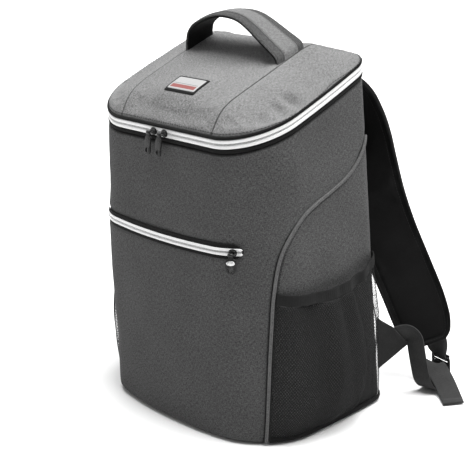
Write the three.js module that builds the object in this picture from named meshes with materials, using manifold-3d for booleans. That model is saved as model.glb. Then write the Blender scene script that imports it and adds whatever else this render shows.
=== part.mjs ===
// A soft-sided cooler backpack: an insulated box with a sloping zipped lid, a zipped front pocket,
// two net side pockets, a carrying handle and two padded shoulder straps.
// Millimetres and degrees. +Z is up, -Y is the front, and the origin is the middle of the base on the floor.
import * as THREE from "three";
import { mergeVertices } from "three/addons/utils/BufferGeometryUtils.js";
import Module from "manifold-3d";

const wasm = await Module();
wasm.setup();

// Body
const TOP_WIDTH = 290;
const TOP_DEPTH = 184;
const BASE_WIDTH = 304;
const BASE_DEPTH = 190;
const FRONT_HEIGHT = 342; // floor to the lower edge of the lid's zip, at the front
const LID_SLOPE = 18.7; // the zip line climbs to the back
const TOP_FRONT_CORNER = 64;
const BASE_FRONT_CORNER = 55;
const BACK_CORNER = 22;
const SIDE_BULGE = 5;
const FRONT_BULGE = 25;
const WALL = 6; // two layers of cloth with foam between them
const BASE_ROUND = 10;
const SEAM_GAP = 0.3;

// Lid and its zip
const BINDING_HEIGHT = 7; // dark tape below the zip
const ZIP_TRIM = 3.3; // each silver edge of a zip
const ZIP_COIL = 2.8;
const ZIP_THICKNESS = 1.6;
const LID_BINDING_HEIGHT = 3.4;
const LID_RISE = 26;
const LID_SEAM_X = 79; // the lid's two long seams lie at this distance from its middle
const PIPING_WIDTH = 4;
const PIPING_HEIGHT = 2.4;

// Front pocket's zip
const POCKET_ZIP_HEIGHT = 231; // floor to the middle of its coil
const POCKET_ZIP_HALF_SPAN = 120;
const POCKET_TAPE_HEIGHT = 17;
const POCKET_TAPE_THICKNESS = 0.8;

// Side pockets
const NET_THICKNESS = 1.5;
const NET_BULGE = 30;
const NET_HEIGHT = 168; // floor to the lower edge of the elastic, at the front
const ELASTIC_HEIGHT = 13;
const ELASTIC_THICKNESS = 2.4;
const HEM_BOTTOM = 4;
const HEM_HEIGHT = 5;

// Sliders and pulls
const SLIDER_LENGTH = 9;
const SLIDER_WIDTH = 8.6;
const SLIDER_THICKNESS = 3;
const SLIDER_NOSE = 0.55; // share of the width at each end
const SLIDER_CHEEK = 0.6; // share of the length at full width
const BAIL_RADIUS = 0.8;
const BAIL_HEIGHT = 5.4; // slider's face to the middle of the bail's bar
const BAIL_SPAN = 5;
const BAIL_POST = 1.3;
const EYE_RADIUS = 1.25;
const KNUCKLE_RADIUS = 2.2;
const PULL_THICKNESS = 1.8;
const PULL_CLEARANCE = 0.4;
const LID_PULL_LENGTH = 25;
const LID_PULL_WIDTH = 9;
const POCKET_PULL_LENGTH = 21;
const POCKET_PULL_WIDTH = 13;
const LID_SLIDERS_MEET = -8; // X of the point between the two sliders
const LID_SLIDER_SPACING = 19;
const LID_PULL_LEAN = 10; // the pulls stand a little off the cloth
const POCKET_PULL_LEAN = 9;

// Handle
const HANDLE_WIDTH = 42;
const HANDLE_FROM_BACK = 57.6; // lid's back edge to the handle's middle
const HANDLE_RISE = 41;
const HANDLE_BAND_THICKNESS = 3;
const HANDLE_LINING_THICKNESS = 1.4;
const HANDLE_TAPE_WIDTH = 17;
const HANDLE_TAPE_THICKNESS = 0.8;

// Label
const LABEL_WIDTH = 52;
const LABEL_DEPTH = 27;
const LABEL_FROM_FRONT = 38; // lid's front edge to the label's middle
const LABEL_THICKNESS = 1.2;
const LABEL_BORDER = 3;
const LABEL_FACE_THICKNESS = 0.6;

// Shoulder straps
const PAD_WIDTH = 71;
const PAD_THICKNESS = 10;
const STRAP_TOP_DROP = 26; // zip line at the back down to the pad's seam
const STRAP_SPLAY = 160; // X of the pad's lower end
const STRAP_REACH = 76; // back panel to the pad's lower end
const WEBBING_WIDTH = 25;
const WEBBING_THICKNESS = 1.5;
const LOCK_WIDTH = 33;
const LOCK_LENGTH = 22;
const LOCK_THICKNESS = 3;
const LOCK_BAR = 2.4;
const LOCK_CLEARANCE = 0.6;
const LOCK_HANG = { x: 5, y: 13, z: -29 }; // pad's end to the lock's middle
const LOCK_TURN = -10;
const WEBBING_ASIDE = 9; // the webbing is sewn nearer the pad's outer edge
const WEBBING_SEWN_FROM = 0.72; // share of the pad's length
const TAB_HIGH = 104;
const TAB_LOW = 38;
const TAB_THICKNESS = 1.6;
const TAB_REACH = 42;
const TAB_OVERLAP = 9; // webbing sewn behind the tab's tip
const TAB_TURN = 72; // degrees that it leans back from the bag's side
const LOOSE_REACH = 100; // unit of the loose webbing's route

// How far the front stands out, as a share of FRONT_BULGE, at shares of the height.
const FRONT_PROFILE = [
  { up: 0, out: 0.92 },
  { up: 0.3, out: 1 },
  { up: 0.6, out: 0.88 },
  { up: 0.75, out: 0.62 },
  { up: 0.88, out: 0.28 },
  { up: 1, out: 0 },
];

// The piped seam on each side: y as a share of half the top depth, z as a share of the front height.
const SIDE_SEAM = [
  { y: -0.95, z: -0.05 },
  { y: -0.94, z: 0.01 },
  { y: -0.91, z: 0.094 },
  { y: -0.85, z: 0.276 },
  { y: -0.8, z: 0.409 },
  { y: -0.75, z: 0.521 },
  { y: -0.665, z: 0.629 },
  { y: -0.546, z: 0.697 },
  { y: -0.344, z: 0.758 },
  { y: -0.094, z: 0.793 },
  { y: 0.19, z: 0.82 },
  { y: 0.464, z: 0.847 },
  { y: 0.668, z: 0.883 },
  { y: 0.81, z: 0.925 },
  { y: 0.9, z: 0.965 },
  { y: 1, z: 1.03 },
];

// How full a net pocket is, as a share of NET_BULGE, at shares of its height.
const NET_PROFILE = [
  { up: 0, out: 0.04 },
  { up: 0.1, out: 0.5 },
  { up: 0.25, out: 0.86 },
  { up: 0.45, out: 1 },
  { up: 0.65, out: 0.9 },
  { up: 0.85, out: 0.62 },
  { up: 1, out: 0.38 },
];

// Height of the net's mouth above NET_HEIGHT, as shares of the elastic's height, from front to back.
const MOUTH_PROFILE = [
  { along: 0, lift: 0 },
  { along: 0.25, lift: -0.45 },
  { along: 0.5, lift: -0.5 },
  { along: 0.75, lift: -0.2 },
  { along: 1, lift: 0.65 },
];

// The handle leans to one side: x as a share of LID_SEAM_X, z as a share of HANDLE_RISE above its roots.
const HANDLE_ROUTE = [
  { x: -1, z: 0 },
  { x: -0.985, z: 0.22 },
  { x: -0.94, z: 0.46 },
  { x: -0.82, z: 0.66 },
  { x: -0.63, z: 0.82 },
  { x: -0.42, z: 0.93 },
  { x: -0.19, z: 1 },
  { x: 0.04, z: 0.99 },
  { x: 0.22, z: 0.92 },
  { x: 0.38, z: 0.79 },
  { x: 0.55, z: 0.61 },
  { x: 0.72, z: 0.42 },
  { x: 0.87, z: 0.26 },
  { x: 0.965, z: 0.13 },
  { x: 1, z: 0 },
];

// Middle of a shoulder pad: x as a share of STRAP_SPLAY, y of STRAP_REACH behind the back panel, z of the
// height of its seam. Turn and rise give the direction of its width; wide is a share of PAD_WIDTH.
const PAD_ROUTE = [
  { x: 0.33, y: 0.0, z: 1.0, turn: 0, rise: 0, wide: 0.9 },
  { x: 0.33, y: 0.1, z: 1.005, turn: 0, rise: 0, wide: 0.92 },
  { x: 0.335, y: 0.36, z: 1.01, turn: 0, rise: 0, wide: 0.95 },
  { x: 0.35, y: 0.58, z: 0.985, turn: 0, rise: 0, wide: 0.97 },
  { x: 0.375, y: 0.74, z: 0.94, turn: 2, rise: 0, wide: 0.98 },
  { x: 0.41, y: 0.82, z: 0.875, turn: 6, rise: 1, wide: 1 },
  { x: 0.46, y: 0.83, z: 0.8, turn: 12, rise: 3, wide: 1 },
  { x: 0.52, y: 0.78, z: 0.715, turn: 20, rise: 6, wide: 1 },
  { x: 0.61, y: 0.72, z: 0.605, turn: 30, rise: 10, wide: 1 },
  { x: 0.7, y: 0.73, z: 0.5, turn: 40, rise: 14, wide: 1 },
  { x: 0.81, y: 0.79, z: 0.385, turn: 49, rise: 17, wide: 1 },
  { x: 0.9, y: 0.87, z: 0.28, turn: 53, rise: 18, wide: 1 },
  { x: 0.955, y: 0.93, z: 0.2, turn: 54, rise: 18, wide: 0.96 },
  { x: 0.985, y: 0.98, z: 0.15, turn: 54, rise: 17, wide: 0.8 },
  { x: 1, y: 1, z: 0.122, turn: 54, rise: 16, wide: 0.5 },
];

// The loose webbing from the tab's tip to the lock, then its free end: shares of LOOSE_REACH from the
// foot of the back corner. Turn and rise give the direction of its width.
const LOOP_ROUTE = [
  { x: 0.18, y: 0.45, z: 0.77, turn: 46, rise: -40 },
  { x: 0.25, y: 0.48, z: 0.6, turn: 44, rise: -15 },
  { x: 0.32, y: 0.48, z: 0.36, turn: 42, rise: 0 },
  { x: 0.365, y: 0.48, z: 0.14, turn: 38, rise: 0 },
  { x: 0.37, y: 0.525, z: 0.045, turn: 30, rise: 0 },
  { x: 0.33, y: 0.63, z: 0.024, turn: 16, rise: 0 },
  { x: 0.25, y: 0.79, z: 0.024, turn: 2, rise: 0 },
];
const TAIL_ROUTE = [
  { x: 0.19, y: 0.82, z: 0.22, turn: -6, rise: 0 },
  { x: 0.26, y: 0.73, z: 0.25, turn: 6, rise: 0 },
  { x: 0.42, y: 0.66, z: 0.19, turn: 22, rise: 0 },
  { x: 0.63, y: 0.56, z: 0.07, turn: 40, rise: 0 },
  { x: 0.83, y: 0.41, z: 0.022, turn: 50, rise: 0 },
];

const HALVINGS = 40; // steps of a search by halves

// Plain sums
const mix = (a, b, t) => a + (b - a) * t;
const radians = THREE.MathUtils.degToRad;
const clamp = THREE.MathUtils.clamp;
const vec = (x, y, z) => new THREE.Vector3(x, y, z);
const UP = vec(0, 0, 1);

// Value of a table's column at a place in another of its columns.
function look(table, inColumn, place, outColumn) {
  if (place <= table[0][inColumn]) return table[0][outColumn];
  for (let i = 1; i < table.length; i++) {
    const low = table[i - 1];
    const high = table[i];
    if (place <= high[inColumn]) {
      const t = (place - low[inColumn]) / (high[inColumn] - low[inColumn]);
      return mix(low[outColumn], high[outColumn], t);
    }
  }
  return table[table.length - 1][outColumn];
}

// The body's outline. Station 0 is the middle of the back, 1 to 2 the back corner, 2 to 3 the side, 3 to 4
// the front corner and 5 the middle of the front; the left side has negative stations.
const BACK_SEAM = 1.5;
const SIDE_END = 3;
const FRONT_MIDDLE = 5;

function plan(station, share, inset = 0) {
  const q = Math.abs(station);
  const halfWidth = mix(BASE_WIDTH, TOP_WIDTH, share) / 2 - inset;
  const halfDepth = mix(BASE_DEPTH, TOP_DEPTH, share) / 2 - inset;
  const front = mix(BASE_FRONT_CORNER, TOP_FRONT_CORNER, share) - inset;
  const back = Math.max(BACK_CORNER - inset, SEAM_GAP);
  let x, y;
  if (q <= 1) {
    x = q * (halfWidth - back);
    y = halfDepth;
  } else if (q <= 2) {
    const angle = ((q - 1) * Math.PI) / 2;
    x = halfWidth - back + back * Math.sin(angle);
    y = halfDepth - back + back * Math.cos(angle);
  } else if (q <= 3) {
    x = halfWidth;
    y = mix(halfDepth - back, front - halfDepth, q - 2);
  } else if (q <= 4) {
    const angle = ((q - 3) * Math.PI) / 2;
    x = halfWidth - front + front * Math.cos(angle);
    y = front - halfDepth - front * Math.sin(angle);
  } else {
    x = (FRONT_MIDDLE - q) * (halfWidth - front);
    y = -halfDepth;
  }
  const across = x / halfWidth;
  const alongDepth = clamp(y / halfDepth, -1, 1);
  const out = FRONT_BULGE * look(FRONT_PROFILE, "up", share, "out");
  return {
    x: Math.sign(station) * (x + SIDE_BULGE * (1 - alongDepth ** 2) * across),
    y: y - (out * (1 - across ** 2) * (1 - alongDepth)) / 2,
  };
}

// Height of the zip line, which is the lower edge of the lid's zip.
function zipHeight(station) {
  const run = plan(station, 1).y + TOP_DEPTH / 2;
  return FRONT_HEIGHT + run * Math.tan(radians(LID_SLOPE));
}

// A point of the body's outside, or a distance out from it.
function skin(station, z, out = 0) {
  const share = clamp(z / zipHeight(station), 0, 1);
  const { x, y } = plan(station, share, -out);
  return vec(x, y, z);
}

function outward(station, z) {
  const step = 0.01;
  const run = skin(station + step, z).sub(skin(station - step, z));
  return vec(-run.y, run.x, 0).normalize();
}

// The last station of a range for which a test holds, where it holds from the range's low end.
function lastStation(low, high, holds) {
  for (let i = 0; i < HALVINGS; i++) {
    const middle = (low + high) / 2;
    if (holds(middle)) low = middle;
    else high = middle;
  }
  return (low + high) / 2;
}

// Stations on the right side where the outside has a given y, or round the front a given x, at a height.
const stationAt = (y, z) => lastStation(BACK_SEAM / 2, FRONT_MIDDLE, (q) => skin(q, z).y > y);
const stationAtX = (x, z) => lastStation(SIDE_END, FRONT_MIDDLE, (q) => skin(q, z).x > x);

const seamY = (z) => skin(BACK_SEAM, z).y;
const backY = (z) => skin(0, z).y;
const steps = (from, to, count) => Array.from({ length: count + 1 }, (_, i) => mix(from, to, i / count));

// Stations from the middle of the back to the middle of the front, closer together round the corners.
const RIGHT_STATIONS = [
  ...steps(0, 1, 2),
  ...steps(1, 2, 4).slice(1),
  ...steps(2, 3, 4).slice(1),
  ...steps(3, 4, 6).slice(1),
  ...steps(4, 5, 3).slice(1),
];
const ALL_ROUND = [...RIGHT_STATIONS, ...RIGHT_STATIONS.slice(1, -1).reverse().map((q) => -q)];
const FRONT_AND_SIDES = [
  ...RIGHT_STATIONS.filter((q) => q >= BACK_SEAM),
  ...RIGHT_STATIONS.filter((q) => q >= BACK_SEAM && q < FRONT_MIDDLE)
    .reverse()
    .map((q) => -q),
];

// Solids
function geometryOf(points, triangles) {
  const geometry = new THREE.BufferGeometry();
  const position = new Float32Array(points.flatMap((p) => [p.x, p.y, p.z]));
  geometry.setAttribute("position", new THREE.BufferAttribute(position, 3));
  let volume = 0;
  for (const [a, b, c] of triangles) volume += points[a].dot(points[b].clone().cross(points[c]));
  const facing = volume > 0 ? triangles : triangles.map(([a, b, c]) => [a, c, b]);
  geometry.setIndex(facing.flat());
  return geometry;
}

// Joins sections of 2n points each: n along one face, then n back along the other.
function loft(sections, closed = false) {
  const size = sections[0].length;
  const points = sections.flat();
  const triangles = [];
  const quad = (a, b, c, d) => triangles.push([a, b, c], [a, c, d]);
  const spans = closed ? sections.length : sections.length - 1;
  for (let j = 0; j < spans; j++) {
    const here = j * size;
    const there = ((j + 1) % sections.length) * size;
    for (let i = 0; i < size; i++) {
      const next = (i + 1) % size;
      quad(here + i, here + next, there + next, there + i);
    }
  }
  if (!closed) {
    const last = (sections.length - 1) * size;
    for (let i = 0; i < size / 2 - 1; i++) {
      const far = size - 1 - i;
      quad(i, far, far - 1, i + 1);
      quad(last + i, last + i + 1, last + far - 1, last + far);
    }
  }
  return geometryOf(points, triangles);
}

function welded(geometry) {
  const bare = geometry.clone();
  bare.deleteAttribute("normal");
  bare.deleteAttribute("uv");
  return mergeVertices(bare, 1e-4);
}

function mirrored(geometry) {
  const other = welded(geometry);
  other.scale(-1, 1, 1);
  const index = other.index.array;
  for (let i = 0; i < index.length; i += 3) [index[i + 1], index[i + 2]] = [index[i + 2], index[i + 1]];
  return other;
}

function solidOf(geometry) {
  const merged = welded(geometry);
  return new wasm.Manifold(
    new wasm.Mesh({
      numProp: 3,
      vertProperties: merged.attributes.position.array,
      triVerts: new Uint32Array(merged.index.array),
    }),
  );
}

function geometryFrom(solid) {
  const mesh = solid.getMesh();
  const geometry = new THREE.BufferGeometry();
  const position = new Float32Array(mesh.numVert * 3);
  for (let i = 0; i < mesh.numVert; i++) {
    position.set(mesh.vertProperties.subarray(i * mesh.numProp, i * mesh.numProp + 3), i * 3);
  }
  geometry.setAttribute("position", new THREE.BufferAttribute(position, 3));
  geometry.setIndex(Array.from(mesh.triVerts));
  return geometry;
}

// Moves a shape so that its own X, Y and Z axes lie along the three directions given.
function placed(geometry, origin, xAxis, yAxis, zAxis) {
  const matrix = new THREE.Matrix4().makeBasis(xAxis, yAxis, zAxis).setPosition(origin);
  return geometry.clone().applyMatrix4(matrix);
}

// A strip on the body's outside between two heights, from one distance out to another.
function strip(stations, low, high, from, to) {
  return loft(
    stations.map((q) => [
      skin(q, low(q), to),
      skin(q, high(q), to),
      skin(q, high(q), from),
      skin(q, low(q), from),
    ]),
  );
}

// A ribbon along a route of {at, wide}: its middle and the direction of its width.
function ribbon(route, width, thickness, stepsPerSpan) {
  const curve = new THREE.CatmullRomCurve3(
    route.map((r) => r.at),
    false,
    "centripetal",
  );
  const spans = route.length - 1;
  const count = spans * stepsPerSpan;
  return loft(
    steps(0, 1, count).map((t) => {
      const place = Math.min(t * spans, spans - 1e-9);
      const i = Math.floor(place);
      const tangent = curve.getTangent(t);
      const across = route[i].wide.clone().lerp(route[i + 1].wide, place - i);
      across.addScaledVector(tangent, -across.dot(tangent)).normalize();
      const normal = tangent.clone().cross(across).normalize();
      const at = curve.getPoint(t);
      const corner = (w, n) => at.clone().addScaledVector(across, w).addScaledVector(normal, n);
      const w = width / 2;
      const n = thickness / 2;
      return [corner(-w, n), corner(w, n), corner(w, -n), corner(-w, -n)];
    }),
  );
}

const widthDirection = (turn, rise) =>
  vec(
    Math.cos(radians(turn)) * Math.cos(radians(rise)),
    Math.sin(radians(turn)) * Math.cos(radians(rise)),
    Math.sin(radians(rise)),
  );

// Body panels, cut from one wall
const bodyTop = (station) => zipHeight(station) - BINDING_HEIGHT - SEAM_GAP;

function wallSection(station) {
  const outer = [];
  const inner = [];
  for (const angle of steps(0, Math.PI / 2, 2)) {
    const inset = BASE_ROUND * (1 - Math.sin(angle));
    const z = BASE_ROUND * (1 - Math.cos(angle));
    outer.push(skin(station, z, -inset));
    inner.push(skin(station, z + WALL * Math.cos(angle), -inset - WALL * Math.sin(angle)));
  }
  for (const { up } of FRONT_PROFILE.slice(1)) {
    const z = Math.min(up * zipHeight(station), bodyTop(station));
    outer.push(skin(station, z));
    inner.push(skin(station, z, -WALL));
  }
  return [...outer, ...inner.reverse()];
}

// A prism along X whose outline is given in y and z.
function prism(outline, fromX, toX) {
  const shape = new THREE.Shape(outline.map(([y, z]) => new THREE.Vector2(y, z)));
  const block = new THREE.ExtrudeGeometry(shape, { depth: toX - fromX, bevelEnabled: false });
  return solidOf(placed(block, vec(fromX, 0, 0), vec(0, 1, 0), UP, vec(1, 0, 0)));
}

const seamCurve = new THREE.SplineCurve(
  SIDE_SEAM.map(({ y, z }) => new THREE.Vector2((y * TOP_DEPTH) / 2, z * FRONT_HEIGHT)),
);
const SEAM_STEPS = 22;
const BEYOND = 60;
const tallest = zipHeight(0) + BEYOND;

// Points of the side seam, moved sideways to make room for it.
function sideSeam(shift) {
  return steps(0, 1, SEAM_STEPS).map((t) => {
    const point = seamCurve.getPoint(t);
    const run = seamCurve.getTangent(t);
    return [point.x + run.y * shift, point.y - run.x * shift];
  });
}

function sidePrism(shift, side) {
  const far = BASE_DEPTH / 2 + BEYOND;
  const curve = sideSeam(shift);
  const outline = [...curve, [far, curve[curve.length - 1][1]], [far, curve[0][1]]];
  const [fromX, toX] = side > 0 ? [BASE_WIDTH / 8, BASE_WIDTH] : [-BASE_WIDTH, -BASE_WIDTH / 8];
  return prism(outline, fromX, toX);
}

// A wedge that holds the back, parted from the rest along the two back corners.
function backWedge(shift) {
  const corner = skin(BACK_SEAM, FRONT_HEIGHT / 2);
  const nose = corner.y - corner.x + shift;
  const far = 2 * BASE_WIDTH;
  const shape = new THREE.Shape([
    new THREE.Vector2(0, nose),
    new THREE.Vector2(far, nose + far),
    new THREE.Vector2(-far, nose + far),
  ]);
  const block = new THREE.ExtrudeGeometry(shape, { depth: tallest + BEYOND, bevelEnabled: false });
  return solidOf(block.translate(0, 0, -BEYOND));
}

const wall = solidOf(loft(ALL_ROUND.map(wallSection), true));
const halfGap = SEAM_GAP / 2;
const backPanel = wall.intersect(backWedge(halfGap));
const sidePanel = wall.intersect(sidePrism(halfGap, 1)).subtract(backWedge(-halfGap));
const frontPanel = wall
  .subtract(sidePrism(-halfGap, 1))
  .subtract(sidePrism(-halfGap, -1))
  .subtract(backWedge(-halfGap));

function basePanel() {
  const edge = ALL_ROUND.map((q) => skin(q, 0, -BASE_ROUND - 2 * SEAM_GAP));
  const shape = new THREE.Shape(edge.map((p) => new THREE.Vector2(p.x, p.y)));
  return new THREE.ExtrudeGeometry(shape, { depth: WALL, bevelEnabled: false });
}

// Piping along the side seam
function piping() {
  const route = steps(0, 1, SEAM_STEPS)
    .map((t) => seamCurve.getPoint(t))
    .filter((p) => p.y > HEM_BOTTOM && p.x < seamY(p.y) - PIPING_WIDTH);
  const places = route.map((p) => {
    const station = stationAt(p.x, p.y);
    return { at: skin(station, p.y), normal: outward(station, p.y) };
  });
  return loft(
    places.map(({ at, normal }, i) => {
      const before = places[Math.max(i - 1, 0)].at;
      const after = places[Math.min(i + 1, places.length - 1)].at;
      const across = after.clone().sub(before).cross(normal).normalize();
      const point = (w, n) =>
        at.clone().addScaledVector(across, w * PIPING_WIDTH).addScaledVector(normal, n);
      const foot = SEAM_GAP;
      const crown = SEAM_GAP + PIPING_HEIGHT;
      const cheek = SEAM_GAP + PIPING_HEIGHT * 0.65;
      return [
        point(-0.5, cheek),
        point(0, crown),
        point(0.5, cheek),
        point(0.5, foot),
        point(0, foot),
        point(-0.5, foot),
      ];
    }),
  );
}

// The zip round the lid, as rows from the body up to the lid
const zipRow = (bottom, height) => ({ bottom, top: bottom + height });
const bindingRow = zipRow(-BINDING_HEIGHT, BINDING_HEIGHT - SEAM_GAP);
const lowerTrimRow = zipRow(0, ZIP_TRIM);
const coilRow = zipRow(lowerTrimRow.top + SEAM_GAP, ZIP_COIL);
const upperTrimRow = zipRow(coilRow.top + SEAM_GAP, ZIP_TRIM);
const lidBindingRow = zipRow(upperTrimRow.top + SEAM_GAP, LID_BINDING_HEIGHT);
const lidEdge = lidBindingRow.top + SEAM_GAP;

const zipStrip = (row, from, to, stations = FRONT_AND_SIDES) =>
  strip(
    stations,
    (q) => zipHeight(q) + row.bottom,
    (q) => zipHeight(q) + row.top,
    from,
    to,
  );

const lidHinge = () => {
  const end = BACK_SEAM - 0.05;
  const stations = [-end, -1.2, -1, -0.5, 0, 0.5, 1, 1.2, end];
  return zipStrip({ bottom: bindingRow.bottom, top: lidBindingRow.top }, -WALL / 2, 0, stations);
};

// The lid: share 0 is its edge and 1 its middle
const LID_RINGS = [0, 0.03, 0.08, 0.16, 0.28, 0.45, 0.7];
const EDGE_POWER = 11;
const SIDE_POWER = 3;
const FRONT_POWER = 9;
const BACK_POWER = 5;

function lidSwell(x, y, share) {
  const across = Math.abs(x) / (TOP_WIDTH / 2);
  const along = y / (TOP_DEPTH / 2);
  const ends = 1 - Math.abs(along) ** (along < 0 ? FRONT_POWER : BACK_POWER);
  const sides = 1 - across ** SIDE_POWER;
  const edge = 1 - (1 - share) ** EDGE_POWER;
  return edge * (0.22 + 0.78 * Math.max(ends, 0) * Math.max(sides, 0));
}

function lidPoint(station, share, inset = 0) {
  const rim = plan(station, 1, inset);
  const x = rim.x * (1 - share);
  const y = rim.y * (1 - share);
  const slope = Math.tan(radians(LID_SLOPE));
  const plane = FRONT_HEIGHT + (y + TOP_DEPTH / 2) * slope;
  return vec(x, y, plane + lidEdge + LID_RISE * lidSwell(x, y, share));
}

// The lid's top over a place on the floor plan.
function lidTop(x, y) {
  const bearing = (point) => Math.atan2(-point.y, Math.abs(point.x));
  const station = lastStation(0, FRONT_MIDDLE, (q) => bearing(plan(q, 1)) < bearing({ x, y }));
  const rim = plan(station, 1);
  const share = 1 - Math.hypot(x, y) / Math.hypot(rim.x, rim.y);
  return lidPoint(station, share).setX(x);
}

function lidShell() {
  const count = ALL_ROUND.length;
  const points = [];
  for (const share of LID_RINGS) for (const q of ALL_ROUND) points.push(lidPoint(q, share));
  for (const share of LID_RINGS) {
    const drop = share === 0 ? 0 : WALL;
    for (const q of ALL_ROUND) points.push(lidPoint(q, share, WALL).sub(vec(0, 0, drop)));
  }
  const middle = lidPoint(0, 1);
  points.push(middle, middle.clone().sub(vec(0, 0, WALL)));
  // The inner edge lies level with the outer edge.
  const innerStart = LID_RINGS.length * count;
  for (let i = 0; i < count; i++) points[innerStart + i].z = points[i].z;
  const triangles = [];
  for (let i = 0; i < count; i++) {
    const next = (i + 1) % count;
    for (let j = 0; j < LID_RINGS.length - 1; j++) {
      const [a, b, c, d] = [j * count + i, j * count + next, (j + 1) * count + next, (j + 1) * count + i];
      triangles.push([a, b, c], [a, c, d]);
      triangles.push([innerStart + a, innerStart + c, innerStart + b]);
      triangles.push([innerStart + a, innerStart + d, innerStart + c]);
    }
    const last = (LID_RINGS.length - 1) * count;
    triangles.push([last + i, last + next, points.length - 2]);
    triangles.push([innerStart + last + next, innerStart + last + i, points.length - 1]);
    triangles.push([i, innerStart + i, next], [next, innerStart + i, innerStart + next]);
  }
  return solidOf(geometryOf(points, triangles));
}

function slab(fromX, toX) {
  const block = new THREE.BoxGeometry(toX - fromX, 2 * BASE_DEPTH, 2 * tallest);
  block.translate((fromX + toX) / 2, 0, 0);
  return solidOf(block);
}

const lid = lidShell();
const lidCentre = lid.intersect(slab(halfGap - LID_SEAM_X, LID_SEAM_X - halfGap));
const lidSide = lid.intersect(slab(LID_SEAM_X + halfGap, BASE_WIDTH));

// A patch that lies on the lid
function lidPatch(width, depth, y, from, to) {
  const across = steps(-width / 2, width / 2, 4);
  const along = steps(y - depth / 2, y + depth / 2, 3);
  const at = (x, yy, lift) => vec(x, yy, lidTop(x, yy).z + lift);
  return loft(
    across.map((x) => [
      ...along.map((yy) => at(x, yy, to)),
      ...along.map((yy) => at(x, yy, from)).reverse(),
    ]),
  );
}

// The handle: three layers on one route, each end cut to the lid
const handleY = TOP_DEPTH / 2 - HANDLE_FROM_BACK;
function handleLayer(width, from, to) {
  const outline = HANDLE_ROUTE.map(({ x, z }) => vec(x * LID_SEAM_X, 0, z * HANDLE_RISE));
  const curve = new THREE.CatmullRomCurve3(outline, false, "centripetal");
  const roots = [lidTop(-LID_SEAM_X, handleY).z, lidTop(LID_SEAM_X, handleY).z];
  const across = steps(-width / 2, width / 2, 2);
  const count = 18;
  return loft(
    steps(0, 1, count).map((t, i) => {
      const tangent = curve.getTangent(t);
      const normal = vec(-tangent.z, 0, tangent.x);
      const middle = curve.getPoint(t);
      const lean = Math.tan(radians(LID_SLOPE)) * (1 - middle.z / HANDLE_RISE);
      const corner = (w, n) => {
        const point = middle.clone().addScaledVector(normal, n);
        point.add(vec(0, handleY + w, mix(roots[0], roots[1], t) + w * lean));
        if (i === 0 || i === count) {
          point.x = Math.sign(middle.x) * (LID_SEAM_X + n);
          point.z = lidTop(point.x, point.y).z + 2 * SEAM_GAP;
        }
        return point;
      };
      return [...across.map((w) => corner(w, to)), ...across.map((w) => corner(w, from)).reverse()];
    }),
  );
}

// Zip sliders and their pulls, drawn with X along the zip, Y up and Z out from the cloth
function slider() {
  const half = SLIDER_LENGTH / 2;
  const wide = SLIDER_WIDTH / 2;
  const nose = wide * SLIDER_NOSE;
  const cheek = half * SLIDER_CHEEK;
  const shape = new THREE.Shape([
    new THREE.Vector2(-half, -nose),
    new THREE.Vector2(-cheek, -wide),
    new THREE.Vector2(cheek, -wide),
    new THREE.Vector2(half, -nose),
    new THREE.Vector2(half, nose),
    new THREE.Vector2(cheek, wide),
    new THREE.Vector2(-cheek, wide),
    new THREE.Vector2(-half, nose),
  ]);
  const plate = solidOf(new THREE.ExtrudeGeometry(shape, { depth: SLIDER_THICKNESS, bevelEnabled: false }));
  const reach = BAIL_SPAN / 2 + PULL_CLEARANCE + BAIL_POST / 2;
  const bar = new THREE.CylinderGeometry(BAIL_RADIUS, BAIL_RADIUS, 2 * reach, 8);
  bar.rotateZ(Math.PI / 2).translate(0, 0, SLIDER_THICKNESS + BAIL_HEIGHT);
  let made = plate.add(solidOf(bar));
  for (const side of [-1, 1]) {
    const height = BAIL_HEIGHT + BAIL_RADIUS + SLIDER_THICKNESS / 2;
    const post = new THREE.BoxGeometry(BAIL_POST, 2.2 * BAIL_RADIUS, height);
    post.translate(side * reach, 0, SLIDER_THICKNESS / 2 + height / 2);
    made = made.add(solidOf(post));
  }
  return geometryFrom(made);
}

// A pull's outline as shares of its half width and length, from its neck down to its tip.
const LID_PULL_OUTLINE = [
  { wide: 0.5, down: 0 },
  { wide: 0.55, down: 0.16 },
  { wide: 0.95, down: 0.3 },
  { wide: 1, down: 0.42 },
  { wide: 0.9, down: 0.72 },
  { wide: 0.62, down: 0.9 },
  { wide: 0.28, down: 1 },
];
const POCKET_PULL_OUTLINE = [
  { wide: 0.35, down: 0 },
  { wide: 0.38, down: 0.14 },
  { wide: 0.85, down: 0.26 },
  { wide: 1, down: 0.42 },
  { wide: 0.98, down: 0.68 },
  { wide: 0.8, down: 0.88 },
  { wide: 0.35, down: 1 },
];
const LID_PULL_HOLE = { down: 0.84, radius: 1.7 };
const POCKET_PULL_HOLE = { down: 0.76, radius: 3 };
const BADGE = { down: 0.42, halfWidth: 5, halfHeight: 2.6, thickness: 0.6 };
const CURVE_STEPS = 8;

function pull(outline, length, width, hole) {
  const left = outline.map(({ wide, down }) => new THREE.Vector2((-wide * width) / 2, -down * length));
  const right = left.map((p) => new THREE.Vector2(-p.x, p.y)).reverse();
  const shape = new THREE.Shape([...left, ...right]);
  const ring = new THREE.Path();
  ring.absarc(0, -hole.down * length, hole.radius, 0, 2 * Math.PI, true);
  shape.holes.push(ring);
  const plate = new THREE.ExtrudeGeometry(shape, {
    depth: PULL_THICKNESS,
    bevelEnabled: false,
    curveSegments: CURVE_STEPS,
  });
  plate.translate(0, 0, -PULL_THICKNESS / 2);
  const barrel = (radius, span) => {
    const cylinder = new THREE.CylinderGeometry(radius, radius, span, 10);
    return solidOf(cylinder.rotateZ(Math.PI / 2));
  };
  return geometryFrom(
    solidOf(plate).add(barrel(KNUCKLE_RADIUS, BAIL_SPAN)).subtract(barrel(EYE_RADIUS, 2 * BAIL_SPAN)),
  );
}

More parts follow.
